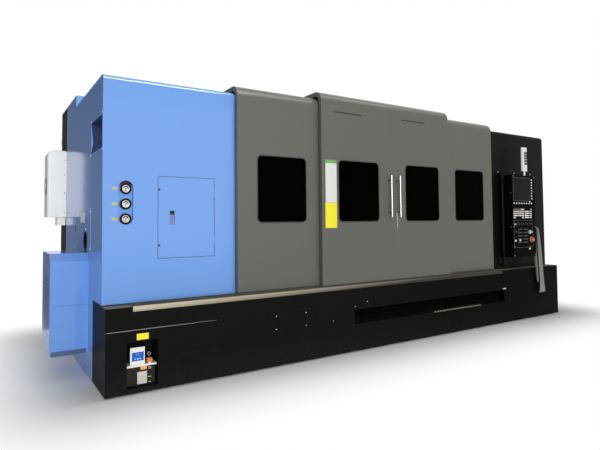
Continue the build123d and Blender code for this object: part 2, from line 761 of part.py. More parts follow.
# Lubricator: shelf bracket, pump box and filler cap above, oil jar below
shelf_top = SHELF_HEIGHT + SHELF_THICK
shelf_left = NICHE_LEFT + SHELF_MARGIN
shelf_right = NICHE_RIGHT - SHELF_MARGIN
shelf_front = niche_back - PUMP_DEPTH - PUMP_MARGIN
pump_left = shelf_left + PUMP_INSET
lubricator = block(shelf_left, shelf_right, shelf_front, niche_back, SHELF_HEIGHT, shelf_top)
lubricator += block(
    pump_left, pump_left + PUMP_WIDTH, niche_back - PUMP_DEPTH, niche_back, shelf_top, shelf_top + PUMP_HEIGHT
)
cap_x = shelf_right - CAP_INSET
cap_y = shelf_front + CAP_RADIUS
neck_top = shelf_top + NECK_HEIGHT
lubricator += rod_z(shelf_top, neck_top, cap_x, cap_y, NECK_RADIUS)
lubricator += rod_z(neck_top, shelf_top + CAP_HEIGHT, cap_x, cap_y, CAP_RADIUS)
jar = block(
    shelf_left + PUMP_MARGIN / 2,
    shelf_right - PUMP_MARGIN / 2,
    shelf_front + PUMP_MARGIN,
    niche_back - PUMP_MARGIN,
    JAR_BOTTOM,
    SHELF_HEIGHT,
)
save("lubricator", Compound([lubricator.solid(), jar.solid()]))

# Slant bed: hollow casting with two tailstock ways, two carriage ways and a screw channel
channel = SCREW_CHANNEL / 2
outline = [(BED_FRONT, FRAME_TOP), slope(BED_LOW, -BED_DROP)]
for low, high in TAIL_WAYS + (LOW_WAY,):
    outline += [slope(low, -BED_DROP), slope(low, -WAY_DROP), slope(high, -WAY_DROP), slope(high, -BED_DROP)]
channel_drop = BED_DROP + SCREW_CHANNEL_DEPTH
for up, drop in (
    (SCREW_UP - channel, BED_DROP),
    (SCREW_UP - channel, channel_drop),
    (SCREW_UP + channel, channel_drop),
    (SCREW_UP + channel, BED_DROP),
):
    outline.append(slope(up, -drop))
low, high = HIGH_WAY
outline += [slope(low, -BED_DROP), slope(low, -WAY_DROP), slope(high, -WAY_DROP), slope(high, -BED_DROP)]
crest = slope(BED_HIGH, -BED_DROP)
outline += [crest, (BED_BACK, crest[1]), (BED_BACK, FRAME_TOP)]
bed = prism(outline, BED_LEFT, BED_RIGHT)
core_low = slope(TAIL_WAYS[0][1], -BED_CORE_DROP + BED_WALL / 2)
core_high = slope(HIGH_WAY[0], -BED_CORE_DROP)
core_bottom = FRAME_TOP + BED_WALL
core_back = BED_BACK - BED_WALL
core = [(core_low[0], core_bottom), core_low, core_high, (core_back, core_high[1]), (core_back, core_bottom)]
bed_bay = (BED_RIGHT - BED_LEFT - BED_RIB) / BED_BAYS
for n in range(BED_BAYS):
    x0 = BED_LEFT + BED_RIB + n * bed_bay
    bed -= prism(core, x0, x0 + bed_bay - BED_RIB)
hole_y = core_back - 2 * BED_RIB_HOLE
hole_z = core_bottom + 2 * BED_RIB_HOLE
bed -= rod_x(BED_LEFT - CUT, BED_RIGHT + CUT, hole_y, hole_z, BED_RIB_HOLE)
bearing_ups = (SCREW_UP - channel + CUT, SCREW_UP + channel - CUT)
bearing_top = -SCREW_DROP + SCREW_RADIUS + FRAME_WALL / 2
for x0 in (SCREW_LEFT, SCREW_RIGHT - SCREW_BLOCK):
    ear = slope_block(x0, x0 + SCREW_BLOCK, bearing_ups, -channel_drop, bearing_top)
    bed += ear
bed -= slope_rod(SCREW_LEFT - CUT, SCREW_RIGHT + CUT, SCREW_UP, -SCREW_DROP, SCREW_JOURNAL_RADIUS + RUN_GAP)
save("bed", bed)

# Ball screw: plain journals in the bed's bearing ears
screw_step = SCREW_BLOCK + DOOR_GAP
screw = slope_rod(SCREW_LEFT + screw_step, SCREW_RIGHT - screw_step, SCREW_UP, -SCREW_DROP, SCREW_RADIUS)
screw += slope_rod(SCREW_LEFT, SCREW_RIGHT, SCREW_UP, -SCREW_DROP, SCREW_JOURNAL_RADIUS)
save("z_ballscrew", screw)

# Headstock: foot on the ways, web and barrel bored for the bearings
head_mid = -WAY_DROP + HEAD_FOOT_THICK
headstock = slope_block(HEAD_LEFT, HEAD_RIGHT, HEAD_FOOT, -WAY_DROP, head_mid)
web = [
    slope(HEAD_WEB[0], head_mid),
    slope(HEAD_WEB[1], head_mid),
    slope(HEAD_RADIUS, 0),
    slope(-HEAD_RADIUS, 0),
]
headstock += prism(web, HEAD_LEFT, HEAD_RIGHT)
headstock += spin_rod(HEAD_LEFT, HEAD_NOSE, HEAD_RADIUS)
headstock -= spin_rod(HEAD_LEFT - CUT, HEAD_NOSE + CUT, HEAD_BORE)
for left, right, radius in (REAR_BEARING, FRONT_BEARING):
    headstock -= spin_rod(left, right, radius)
save("headstock", headstock)

rear_ring = spin_rod(REAR_BEARING[0], REAR_BEARING[1], REAR_BEARING[2] - FIT_GAP)
rear_ring -= spin_rod(REAR_BEARING[0] - CUT, REAR_BEARING[1] + CUT, SPINDLE_REAR_RADIUS + RUN_GAP)
front_ring = spin_rod(FRONT_BEARING[0], FRONT_BEARING[1], FRONT_BEARING[2] - FIT_GAP)
front_ring -= spin_rod(FRONT_BEARING[0] - CUT, FRONT_BEARING[1] + CUT, SPINDLE_FRONT_RADIUS + RUN_GAP)
save("spindle_bearings", Compound([rear_ring.solid(), front_ring.solid()]))

spindle = spin_rod(SPINDLE_LEFT, SPINDLE_STEP, SPINDLE_REAR_RADIUS)
spindle += spin_rod(SPINDLE_STEP, HEAD_NOSE + NOSE_GAP, SPINDLE_FRONT_RADIUS)
spindle += spin_rod(HEAD_NOSE + NOSE_GAP, CHUCK_LEFT, NOSE_RADIUS)
spindle -= spin_rod(SPINDLE_LEFT - CUT, CHUCK_LEFT + CUT, SPINDLE_BORE)
save("spindle", spindle)

spindle_pulley = spin_rod(PULLEY_LEFT, PULLEY_RIGHT, SPINDLE_PULLEY_RADIUS)
spindle_pulley -= spin_rod(PULLEY_LEFT - CUT, PULLEY_RIGHT + CUT, SPINDLE_REAR_RADIUS + FIT_GAP)
save("spindle_pulley", spindle_pulley)

# Chuck cylinder on the spindle's rear face, with the draw tube through the spindle
chuck_cylinder = spin_rod(CYLINDER_LEFT, CYLINDER_COLLAR, CYLINDER_COLLAR_RADIUS)
chuck_cylinder += spin_rod(CYLINDER_COLLAR, SPINDLE_LEFT - CYLINDER_FLANGE, CYLINDER_RADIUS)
chuck_cylinder += spin_rod(SPINDLE_LEFT - CYLINDER_FLANGE, SPINDLE_LEFT, CYLINDER_FLANGE_RADIUS)
chuck_cylinder += spin_rod(SPINDLE_LEFT, DRAW_TUBE_RIGHT, DRAW_TUBE_RADIUS)
chuck_cylinder -= spin_rod(CYLINDER_LEFT - CUT, DRAW_TUBE_RIGHT + CUT, DRAW_TUBE_BORE)
save("chuck_cylinder", chuck_cylinder)

# Chuck body with three tee slots, and stepped jaws that slide in them
chuck = spin_rod(CHUCK_LEFT, CHUCK_RIGHT, CHUCK_RADIUS)
rims = chuck.edges().filter_by(GeomType.CIRCLE)
chuck = chamfer(rims, CHUCK_CHAMFER)
chuck -= spin_rod(CHUCK_LEFT - CUT, CHUCK_RIGHT + CUT, CHUCK_BORE)
neck_left = CHUCK_RIGHT - SLOT_NECK_DEPTH
tee_left = neck_left - SLOT_TEE_DEPTH
slot_outer = CHUCK_RADIUS + CUT
slot = block(neck_left - CUT, CHUCK_RIGHT + CUT, -SLOT_NECK / 2, SLOT_NECK / 2, SLOT_INNER, slot_outer)
slot += block(tee_left, neck_left, -SLOT_TEE / 2, SLOT_TEE / 2, SLOT_INNER, slot_outer)
neck = SLOT_NECK / 2 - SEAT_GAP
tee = SLOT_TEE / 2 - SEAT_GAP
jaw_face = CHUCK_RIGHT + SEAT_GAP
jaw_step = jaw_face + JAW_STEP_LENGTH
jaw_tip = jaw_step + JAW_STEP_LENGTH
jaw = block(neck_left - CUT, jaw_face, -neck, neck, JAW_INNER, JAW_OUTER)
jaw += block(tee_left + SEAT_GAP, neck_left - SEAT_GAP, -tee, tee, JAW_INNER, JAW_OUTER)
jaw += block(jaw_face, jaw_step, -JAW_WIDTH / 2, JAW_WIDTH / 2, JAW_INNER, JAW_OUTER)
jaw += block(jaw_step, jaw_tip, -JAW_WIDTH / 2, JAW_WIDTH / 2, JAW_STEP_RADIUS, JAW_OUTER)
for n in range(JAW_COUNT):
    turn = Pos(0, SPINDLE_Y, SPINDLE_Z) * Rot(n * 360 / JAW_COUNT, 0, 0)
    chuck -= turn * slot
    save(f"chuck_jaw_{n + 1}", turn * jaw)
save("chuck_body", chuck)

# Spindle motor on feet, its pulley and shaft, and the belt
motor = rod_x(MOTOR_LEFT, MOTOR_RIGHT, MOTOR_Y, MOTOR_Z, MOTOR_RADIUS)
half_flange = MOTOR_FLANGE / 2
motor += block(
    MOTOR_RIGHT,
    MOTOR_RIGHT + MOTOR_FLANGE_THICK,
    MOTOR_Y - half_flange,
    MOTOR_Y + half_flange,
    MOTOR_Z - half_flange,
    MOTOR_Z + half_flange,
)
half_foot = MOTOR_FOOT_WIDTH / 2
foot_front = MOTOR_Y - half_foot
foot_back = MOTOR_Y + half_foot
foot_top = MOTOR_Z - MOTOR_RADIUS / 2
motor += block(MOTOR_FOOT_LEFT, MOTOR_FOOT_RIGHT, foot_front, foot_back, FRAME_TOP, foot_top)
shaft_hole = MOTOR_SHAFT_RADIUS + RUN_GAP
motor -= rod_x(MOTOR_SHAFT_LEFT - CUT, MOTOR_RIGHT + MOTOR_FLANGE, MOTOR_Y, MOTOR_Z, shaft_hole)
save("spindle_motor", motor)

motor_pulley = rod_x(PULLEY_LEFT, PULLEY_RIGHT, MOTOR_Y, MOTOR_Z, MOTOR_PULLEY_RADIUS)
motor_pulley += rod_x(MOTOR_SHAFT_LEFT, PULLEY_LEFT, MOTOR_Y, MOTOR_Z, MOTOR_SHAFT_RADIUS)
save("motor_pulley", motor_pulley)
save("drive_belt", belt_outline(SEAT_GAP + BELT_THICK) - belt_outline(SEAT_GAP))

# Motor cover: sheet box on the left end with a sloped top front edge and rounded left edges
shells = []
for inset in (0, SHEET):
    front = MOTOR_COVER_FRONT + inset
    back = MOTOR_COVER_BACK - inset
    bottom = MOTOR_COVER_BOTTOM + inset
    top = MOTOR_COVER_TOP - inset
    low = top - MOTOR_COVER_SLOPE
    profile = [(front, bottom), (back, bottom), (back, top), (front + MOTOR_COVER_SLOPE, top), (front, low)]
    shell = prism(profile, inset - MOTOR_COVER_OUT, inset * CUT)
    shells.append(fillet(shell.edges().group_by(Axis.X)[0], MOTOR_COVER_ROUND - inset))
save("motor_cover", shells[0] - shells[1])

# Headstock cover: folded front and roof with the gauge and access openings
head_cover = corner_cover(SHEET, HEAD_COVER_RIGHT, HEAD_COVER_BOTTOM)
gauge_height = GAUGE_DISH_TOP - GAUGE_DISH_BOTTOM
gauge_middle = (GAUGE_DISH_TOP + GAUGE_DISH_BOTTOM) / 2


def dish(y0, y1, grow):
    """The gauges' stadium outline, grown and pulled along y."""
    outline = Pos(GAUGE_X, gauge_middle) * Rot(0, 0, 90) * SlotOverall(
        gauge_height + 2 * grow, GAUGE_DISH_WIDTH + 2 * grow
    )
    return extrude(Plane.XZ.offset(-y0) * outline, y0 - y1)


head_cover -= dish(-CUT, CUT, 0)
head_cover -= block(ACCESS_LEFT, ACCESS_RIGHT, -CUT, CUT, ACCESS_BOTTOM, ACCESS_TOP)
hinge_x = ACCESS_RIGHT - DOOR_GAP / 2
hinge_y = -ACCESS_HINGE_RADIUS
half_hinge = ACCESS_HINGE_LENGTH / 2
for z in ACCESS_HINGE_HEIGHTS:
    head_cover += rod_z(z, z + half_hinge, hinge_x, hinge_y, ACCESS_HINGE_RADIUS)
    head_cover += block(hinge_x, hinge_x + ACCESS_LEAF, -ACCESS_LEAF_THICK, 0, z, z + half_hinge)
save("headstock_cover", head_cover)

gauges = dish(SHEET, GAUGE_DISH_DEPTH + SHEET, SHEET) - dish(0, GAUGE_DISH_DEPTH, 0)
gauges += dish(SHEET, 2 * SHEET, GAUGE_FLANGE) - dish(0, GAUGE_DISH_DEPTH, 0)
for z in GAUGE_HEIGHTS:
    gauges += rod_y(-GAUGE_PROUD, GAUGE_DISH_DEPTH, GAUGE_X, z, GAUGE_RADIUS)
    gauges -= rod_y(-GAUGE_PROUD - CUT, GAUGE_FACE_DEPTH - GAUGE_PROUD, GAUGE_X, z, GAUGE_FACE_RADIUS)
save("pressure_gauges", gauges)

# Access door: folded sheet pan with latch well, locks and lift-off hinge halves
door_left = ACCESS_LEFT + DOOR_GAP
door_right = ACCESS_RIGHT - DOOR_GAP
door_bottom = ACCESS_BOTTOM + DOOR_GAP
door_top = ACCESS_TOP - DOOR_GAP
access = block(door_left, door_right, 0, ACCESS_FLANGE, door_bottom, door_top)
access -= block(
    door_left + SHEET, door_right - SHEET, SHEET, ACCESS_FLANGE + CUT, door_bottom + SHEET, door_top - SHEET
)
pan_left = LATCH_LEFT - SHEET
pan_right = LATCH_RIGHT + SHEET
access += block(pan_left, pan_right, SHEET, LATCH_PAN + SHEET, LATCH_BOTTOM - SHEET, LATCH_TOP + SHEET)
access -= block(LATCH_LEFT, LATCH_RIGHT, -CUT, LATCH_PAN, LATCH_BOTTOM, LATCH_TOP)
for z in LOCK_HEIGHTS:
    access += rod_y(-SHEET, 0, ACCESS_LEFT + LOCK_INSET, z, LOCK_RADIUS)
for z in ACCESS_HINGE_HEIGHTS:
    upper = z + half_hinge + SEAT_GAP
    access += rod_z(upper, z + ACCESS_HINGE_LENGTH, hinge_x, hinge_y, ACCESS_HINGE_RADIUS)
    access += block(hinge_x - ACCESS_LEAF, hinge_x, -ACCESS_LEAF_THICK, 0, upper, z + ACCESS_HINGE_LENGTH)
save("access_door", access)

paddle_bottom = LATCH_BOTTOM + DOOR_GAP
paddle_top = LATCH_TOP - LATCH_FINGER
paddle = [
    (0, paddle_bottom),
    (LATCH_THICK, paddle_bottom),
    (LATCH_SINK + LATCH_TIP, paddle_top),
    (LATCH_SINK, paddle_top),
]
latch = prism(paddle, LATCH_LEFT + DOOR_GAP, LATCH_RIGHT - DOOR_GAP)
pin_z = LATCH_BOTTOM + LATCH_PIN_UP
latch += rod_x(LATCH_LEFT + SEAT_GAP, LATCH_RIGHT - SEAT_GAP, LATCH_THICK / 2, pin_z, LATCH_PIN_RADIUS)
save("access_latch", latch)

# Left end cover: flat sheet with a tapered pocket, spindle and motor openings
end_points = [
    (0, HEAD_COVER_BOTTOM),
    (SKIRT_DEPTH, HEAD_COVER_BOTTOM),
    (SKIRT_DEPTH, PAD_HEIGHT),
    (COVER_DEPTH, PAD_HEIGHT),
    (COVER_DEPTH, REAR_HEIGHT),
    (ROOF_DEPTH, REAR_HEIGHT),
    (ROOF_DEPTH, COVER_HEIGHT),
    (0, COVER_HEIGHT),
]
left_end = prism(end_points, 0, SHEET)
left_end = fillet(edge_at(left_end, Axis.X, 0, COVER_HEIGHT), COVER_TOP_RADIUS)
pocket_width = POCKET_BACK - POCKET_FRONT
pocket_height = POCKET_TOP - POCKET_BOTTOM
pocket_middle = Pos((POCKET_FRONT + POCKET_BACK) / 2, (POCKET_BOTTOM + POCKET_TOP) / 2)
pocket_outer = extrude(
    Plane.YZ * pocket_middle * Rectangle(pocket_width + 2 * SHEET, pocket_height + 2 * SHEET),
    POCKET_DEPTH + SHEET,
    taper=POCKET_TAPER,
)
pocket_mouth = Plane.YZ * pocket_middle * Rectangle(pocket_width, pocket_height)
pocket_inner = extrude(pocket_mouth, POCKET_DEPTH, taper=POCKET_TAPER)
left_end += pocket_outer
left_end -= pocket_inner
left_end -= spin_rod(-CUT, SHEET + CUT, SPINDLE_WINDOW)
left_end -= block(
    -CUT,
    CUT,
    MOTOR_COVER_FRONT + MOTOR_HOLE_MARGIN,
    MOTOR_COVER_BACK - MOTOR_HOLE_MARGIN,
    MOTOR_COVER_BOTTOM + MOTOR_HOLE_MARGIN,
    MOTOR_COVER_TOP - MOTOR_HOLE_MARGIN - MOTOR_COVER_SLOPE,
)
save("left_end_cover", left_end)

hatch = block(-SHEET, 0, HATCH_FRONT, HATCH_BACK, HATCH_BOTTOM, HATCH_TOP)
hatch -= spin_rod(-CUT, CUT, BAR_HOLE)
save("end_hatch", hatch)

# Bulkhead between the headstock room and the work area
bulk_right = BULKHEAD_X + SHEET
roof_under = COVER_HEIGHT - SHEET
bulk_points = [
    (SHEET, BASE_HEIGHT),
    (SILL_BACK, BASE_HEIGHT),
    (SILL_BACK, FRAME_TOP),
    (COVER_DEPTH - SHEET, FRAME_TOP),
    (COVER_DEPTH - SHEET, roof_under),
    (COVER_TOP_RADIUS, roof_under),
    (SHEET, COVER_HEIGHT - COVER_TOP_RADIUS),
]
bulkhead = prism(bulk_points, BULKHEAD_X, bulk_right)
bulk_low = slope(BED_LOW - BULKHEAD_GAP, BULKHEAD_GAP - WAY_DROP)
bulk_high = slope(BED_HIGH + BULKHEAD_GAP, BULKHEAD_GAP - WAY_DROP)
bed_back = BED_BACK + BULKHEAD_GAP
bed_cut = [
    (bulk_low[0], FRAME_TOP - CUT),
    bulk_low,
    bulk_high,
    (bed_back, bulk_high[1]),
    (bed_back, FRAME_TOP - CUT),
]
bulkhead -= prism(bed_cut, BULKHEAD_X - CUT, bulk_right + CUT)
bulkhead -= spin_rod(BULKHEAD_X - CUT, bulk_right + CUT, HEAD_RADIUS + BULKHEAD_GAP)
save("bulkhead", bulkhead)

# Rear cover: middle roof, step, high rear roof and rear wall with raised access panels
rear_right = COVER_RIGHT - SHEET
rear_cover = block(HEAD_COVER_RIGHT, TAIL_COVER_LEFT, ROOF_FRONT, ROOF_DEPTH, roof_under, COVER_HEIGHT)
rear_cover += block(SHEET, rear_right, ROOF_DEPTH, ROOF_DEPTH + SHEET, roof_under, REAR_HEIGHT)
rear_cover += block(SHEET, rear_right, ROOF_DEPTH, COVER_DEPTH, REAR_HEIGHT - SHEET, REAR_HEIGHT)
rear_cover += block(SHEET, rear_right, COVER_DEPTH - SHEET, COVER_DEPTH, REAR_COVER_BOTTOM, REAR_HEIGHT)
panels_left = CABINET_LENGTH + REAR_PANEL_MARGIN
panel_step = (rear_right - panels_left) / REAR_PANEL_COUNT
panel_width = panel_step - REAR_PANEL_MARGIN
for low, high in REAR_PANEL_ROWS:
    for n in range(REAR_PANEL_COUNT):
        middle = Pos(panels_left + n * panel_step + panel_width / 2, (low + high) / 2)
        outline = middle * RectangleRounded(panel_width, high - low, REAR_PANEL_ROUND)
        rear_cover += extrude(Plane.XZ.offset(-COVER_DEPTH) * outline, -SHEET)
save("rear_cover", rear_cover)

# Rails: floor rail with its front strip, and the top rail that carries the roofs' rear drops
floor_rail = block(RAIL_LEFT, RAIL_RIGHT, -BASE_FRONT - SHEET, -RAIL_BACK, BASE_HEIGHT, BASE_HEIGHT + SHEET)
strip_bottom = BASE_HEIGHT - RAIL_STRIP
floor_rail += block(RAIL_LEFT, RAIL_RIGHT, -BASE_FRONT - SHEET, -BASE_FRONT, strip_bottom, BASE_HEIGHT)
for step in (COVER_STEP, DOOR_STEP):
    rib_front = LEAF_HEM / 2 - step
    floor_rail += block(RAIL_LEFT, RAIL_RIGHT, rib_front, rib_front + RIB, BASE_HEIGHT, RAIL_TOP)
save("door_rail", floor_rail)

top_rail = block(
    TOP_RAIL_LEFT,
    TOP_RAIL_RIGHT,
    COVER_REACH - LEAF_HEM - TOP_RAIL_MARGIN,
    DOOR_REACH + TOP_RAIL_MARGIN,
    COVER_HEIGHT,
    COVER_HEIGHT + SHEET,
)
for reach in (COVER_REACH, DOOR_REACH):
    rib_back = reach - LEAF_HEM / 2
    top_rail += block(TOP_RAIL_LEFT, TOP_RAIL_RIGHT, rib_back - RIB, rib_back, COVER_HEIGHT, TOP_RAIL_TOP)
save("top_rail", top_rail)

# Sliding leaves and the fixed right cover, each with its window
left_cover = hood(LEFT_COVER, COVER_STEP, COVER_RISE, COVER_REACH, WINDOW_CENTRES[0])
save("left_cover", left_cover)
save("left_cover_window", glazing(COVER_STEP, WINDOW_CENTRES[0]))
doors = []
for span, window, slit in zip((LEFT_DOOR, RIGHT_DOOR), WINDOW_CENTRES[1:3], SLITS):
    leaf = hood(span, DOOR_STEP, DOOR_RISE, DOOR_REACH, window)
    slit_x, slit_z = slit
    leaf -= block(
        slit_x - SLIT_WIDTH / 2,
        slit_x + SLIT_WIDTH / 2,
        -DOOR_STEP - CUT,
        SHEET + CUT - DOOR_STEP,
        slit_z - SLIT_HEIGHT / 2,
        slit_z + SLIT_HEIGHT / 2,
    )
    doors.append(leaf)
save("left_door", doors[0])
save("right_door", doors[1])
save("left_door_window", glazing(DOOR_STEP, WINDOW_CENTRES[1]))
save("right_door_window", glazing(DOOR_STEP, WINDOW_CENTRES[2]))
save("left_door_handle", pull_handle(HANDLE_XS[0]))
tongue_x = HANDLE_XS[1] - TONGUE_WIDTH / 2
right_handle = pull_handle(HANDLE_XS[1])
right_handle += block(
    tongue_x,
    tongue_x + TONGUE_WIDTH,
    -DOOR_STEP - TONGUE_THICK,
    -DOOR_STEP,
    TONGUE_BOTTOM,
    HANDLE_BOTTOM + HANDLE_POST_INSET,
)
save("right_door_handle", right_handle)
save("right_cover", hood(RIGHT_COVER, COVER_STEP, COVER_RISE, COVER_REACH, WINDOW_CENTRES[3]))
save("right_cover_window", glazing(COVER_STEP, WINDOW_CENTRES[3]))

# Tail cover and right end cover
save("tail_cover", corner_cover(TAIL_COVER_LEFT, COVER_RIGHT, BASE_HEIGHT))
end_front = COVER_TOP_RADIUS + SHEET
right_points = [
    (end_front, BASE_HEIGHT),
    (skirt_inside, BASE_HEIGHT),
    (skirt_inside, frame_clear),
    (COVER_DEPTH - SHEET, frame_clear),
    (COVER_DEPTH - SHEET, REAR_HEIGHT - SHEET),
    (ROOF_DEPTH + SHEET, REAR_HEIGHT - SHEET),
    (ROOF_DEPTH + SHEET, COVER_HEIGHT - COVER_TOP_RADIUS),
    (end_front, COVER_HEIGHT - COVER_TOP_RADIUS),
]
save("right_end_cover", prism(right_points, rear_right - SHEET, rear_right))

# Pendant: fixed post, hollow housing on two lugs, screen, stop button, handwheel and lamp
post = block(POST_PLATE_LEFT, POST_PLATE_RIGHT, -POST_PLATE_THICK, 0, BASE_HEIGHT, POST_PLATE_TOP)
post += rod_z(POST_BOTTOM, POST_TOP, POST_X, -POST_Y, POST_RADIUS)
for z in (POST_BOTTOM, POST_TOP - POST_ARM):
    post += block(POST_X - POST_RADIUS, POST_X + POST_RADIUS, -POST_Y, 0, z, z + POST_ARM)
save("pendant_post", post)

housing = block(PENDANT_LEFT, PENDANT_RIGHT, -PENDANT_FRONT, -PENDANT_BACK, PENDANT_BOTTOM, PENDANT_TOP)
housing = fillet(housing.edges().group_by(Axis.Y)[0], PENDANT_ROUND)
housing -= block(
    PENDANT_LEFT + SHEET,
    PENDANT_RIGHT - SHEET,
    SCREEN_RECESS + SHEET - PENDANT_FRONT,
    -PENDANT_BACK - SHEET,
    PENDANT_BOTTOM + SHEET,
    PENDANT_TOP - SHEET,
)
cable_x = PENDANT_LEFT + LAMP_WIDTH
cable_z = PENDANT_BOTTOM + LAMP_WIDTH
housing -= rod_y(-PENDANT_BACK - CUT, CUT - PENDANT_BACK, cable_x, cable_z, PENDANT_CABLE)
screen_back = SCREEN_RECESS - PENDANT_FRONT
housing -= block(SCREEN_LEFT, SCREEN_RIGHT, -PENDANT_FRONT - CUT, screen_back, SCREEN_BOTTOM, SCREEN_TOP)
for z in LUG_BOTTOMS:
    housing += rod_z(z, z + LUG_HEIGHT, POST_X, -POST_Y, LUG_RADIUS)
    lug_front = -POST_Y - POST_RADIUS
    lug_back = POST_RADIUS - POST_Y
    housing += block(POST_X, PENDANT_LEFT + SHEET, lug_front, lug_back, z, z + LUG_HEIGHT)
    housing -= rod_z(z - CUT, z + LUG_HEIGHT + CUT, POST_X, -POST_Y, POST_RADIUS + SEAT_GAP)
housing -= rod_y(-PENDANT_FRONT - CUT, -PENDANT_BACK - CUT, STOP_X, STOP_Z, STOP_STEM_RADIUS + SEAT_GAP)
housing -= rod_y(-PENDANT_FRONT - CUT, -PENDANT_BACK - CUT, WHEEL_X, WHEEL_Z, WHEEL_STEM_RADIUS + RUN_GAP)
save("pendant_housing", housing)
save(
    "pendant_screen",
    block(
        SCREEN_LEFT + WINDOW_GAP,
        SCREEN_RIGHT - WINDOW_GAP,
        screen_back - SCREEN_THICK,
        screen_back,
        SCREEN_BOTTOM + WINDOW_GAP,
        SCREEN_TOP - WINDOW_GAP,
    ),
)

stop_face = -PENDANT_FRONT - STOP_STANDOFF
e_stop = rod_y(stop_face, STOP_DEPTH - PENDANT_FRONT, STOP_X, STOP_Z, STOP_STEM_RADIUS)
e_stop += rod_y(stop_face - STOP_HEAD, stop_face, STOP_X, STOP_Z, STOP_RADIUS)
save("e_stop", e_stop)

wheel_face = -PENDANT_FRONT - SEAT_GAP
handwheel = rod_y(wheel_face - WHEEL_THICK, wheel_face, WHEEL_X, WHEEL_Z, WHEEL_RADIUS)
handwheel += rod_y(wheel_face, STOP_DEPTH - PENDANT_FRONT, WHEEL_X, WHEEL_Z, WHEEL_STEM_RADIUS)
knob_face = wheel_face - WHEEL_THICK
knob_x = WHEEL_X + WHEEL_RADIUS - 2 * WHEEL_KNOB_RADIUS
handwheel += rod_y(knob_face - WHEEL_KNOB_LENGTH, knob_face, knob_x, WHEEL_Z, WHEEL_KNOB_RADIUS)
save("handwheel", handwheel)

lamp_front = -PENDANT_FRONT
lamp_left = LAMP_X - LAMP_WIDTH / 2
lamp_y = lamp_front + LAMP_DEPTH / 2
lamp = block(lamp_left, lamp_left + LAMP_WIDTH, lamp_front, lamp_front + LAMP_DEPTH, LAMP_BOTTOM, LAMP_TOP)
lamp = fillet(lamp.edges().filter_by(Axis.Z), LAMP_ROUND)
lens_height = (LAMP_TOP - LAMP_BOTTOM - 2 * LAMP_FOOT) / LENS_COUNT
for n in range(LENS_COUNT):
    z = LAMP_BOTTOM + LAMP_FOOT + n * lens_height
    lens = block(
        lamp_left + LENS_GAP,
        lamp_left + LAMP_WIDTH - LENS_GAP,
        lamp_front - LENS_PROUD,
        lamp_front + LENS_PROUD,
        z + LENS_GAP / 2,
        z + lens_height - LENS_GAP / 2,
    )
    lamp += lens
lamp += rod_z(PENDANT_TOP, LAMP_BOTTOM, LAMP_X, lamp_y, LAMP_FOOT_RADIUS)
save("signal_lamp", lamp)


def hung_band(sections, y):
    """A flat band that widens as it hangs: rectangles given by height, middle and width, lofted."""
    outlines = []
    for z, out, width in sections:
        middle = Pos(PENDANT_RIGHT + SEAT_GAP + out, y, z)
        outlines.append(middle * Rectangle(width, STRIP_THICK))
    return loft(outlines, ruled=True)


# Hanging strip: one band doubled over, the rear half narrower and meeting the front half's back
strip_y = STRIP_THICK / 2 - STRIP_BACK
strip = hung_band(STRIP_FRONT_BAND, strip_y - STRIP_THICK)
strip += hung_band(STRIP_REAR_BAND, strip_y)
save("hanging_strip", strip)

# Saddle: foot on the carriage ways with keepers, ramp for the cross slide, ball nut
saddle = slope_block(SADDLE_LEFT, SADDLE_RIGHT, SADDLE_FOOT, SADDLE_BOTTOM, SADDLE_MID)
saddle += slope_block(SADDLE_LEFT, SADDLE_RIGHT, SADDLE_TOP, SADDLE_MID, SADDLE_FACE)
keeper_bottom = SADDLE_BOTTOM - KEEPER_DEPTH
for edge in (LOW_WAY[1] + SEAT_GAP, HIGH_WAY[1] + SEAT_GAP):
    keeper = (edge, edge + KEEPER_WIDTH)
    saddle += slope_block(SADDLE_LEFT, SADDLE_RIGHT, keeper, keeper_bottom, SADDLE_BOTTOM)
cross_ups = (SADDLE_TOP[0] + CROSS_RAIL_END, SADDLE_TOP[1] - CROSS_RAIL_END)
rail_xs = (SADDLE_LEFT + CROSS_RAIL_INSET, SADDLE_RIGHT - CROSS_RAIL_INSET - CROSS_RAIL_WIDTH)
for x0 in rail_xs:
    saddle += slope_block(x0, x0 + CROSS_RAIL_WIDTH, cross_ups, SADDLE_FACE, SADDLE_FACE + CROSS_RAIL_HEIGHT)
half_nut = NUT_WIDTH / 2
tunnel = (SCREW_UP - half_nut + CUT, SCREW_UP + half_nut - CUT)
tunnel_top = -SCREW_DROP + SCREW_RADIUS + FRAME_WALL / 2
saddle -= slope_block(SADDLE_LEFT - CUT, SADDLE_RIGHT + CUT, tunnel, SADDLE_BOTTOM - CUT, tunnel_top)
nut_left = (SADDLE_LEFT + SADDLE_RIGHT - NUT_LENGTH) / 2
nut_ups = (SCREW_UP - half_nut, SCREW_UP + half_nut)
saddle += slope_block(nut_left, nut_left + NUT_LENGTH, nut_ups, -SCREW_DROP - NUT_REACH, SADDLE_MID)
saddle -= slope_rod(SADDLE_LEFT, SADDLE_RIGHT, SCREW_UP, -SCREW_DROP, SCREW_RADIUS + SEAT_GAP)
save("saddle", saddle)

# Cross slide on the saddle's rails, with side keepers
cross_left = SADDLE_LEFT + CROSS_SLIDE_INSET
cross_right = SADDLE_RIGHT - CROSS_SLIDE_INSET
cross = slope_block(cross_left, cross_right, CROSS_SLIDE, CROSS_BOTTOM, CROSS_TOP)
cross_keep = CROSS_BOTTOM - CROSS_RAIL_HEIGHT / 2
keep_left = rail_xs[0] - SEAT_GAP
keep_right = rail_xs[1] + CROSS_RAIL_WIDTH + SEAT_GAP
cross += slope_block(keep_left - KEEPER_WIDTH, keep_left, CROSS_SLIDE, cross_keep, CROSS_BOTTOM)
cross += slope_block(keep_right, keep_right + KEEPER_WIDTH, CROSS_SLIDE, cross_keep, CROSS_BOTTOM)
save("cross_slide", cross)

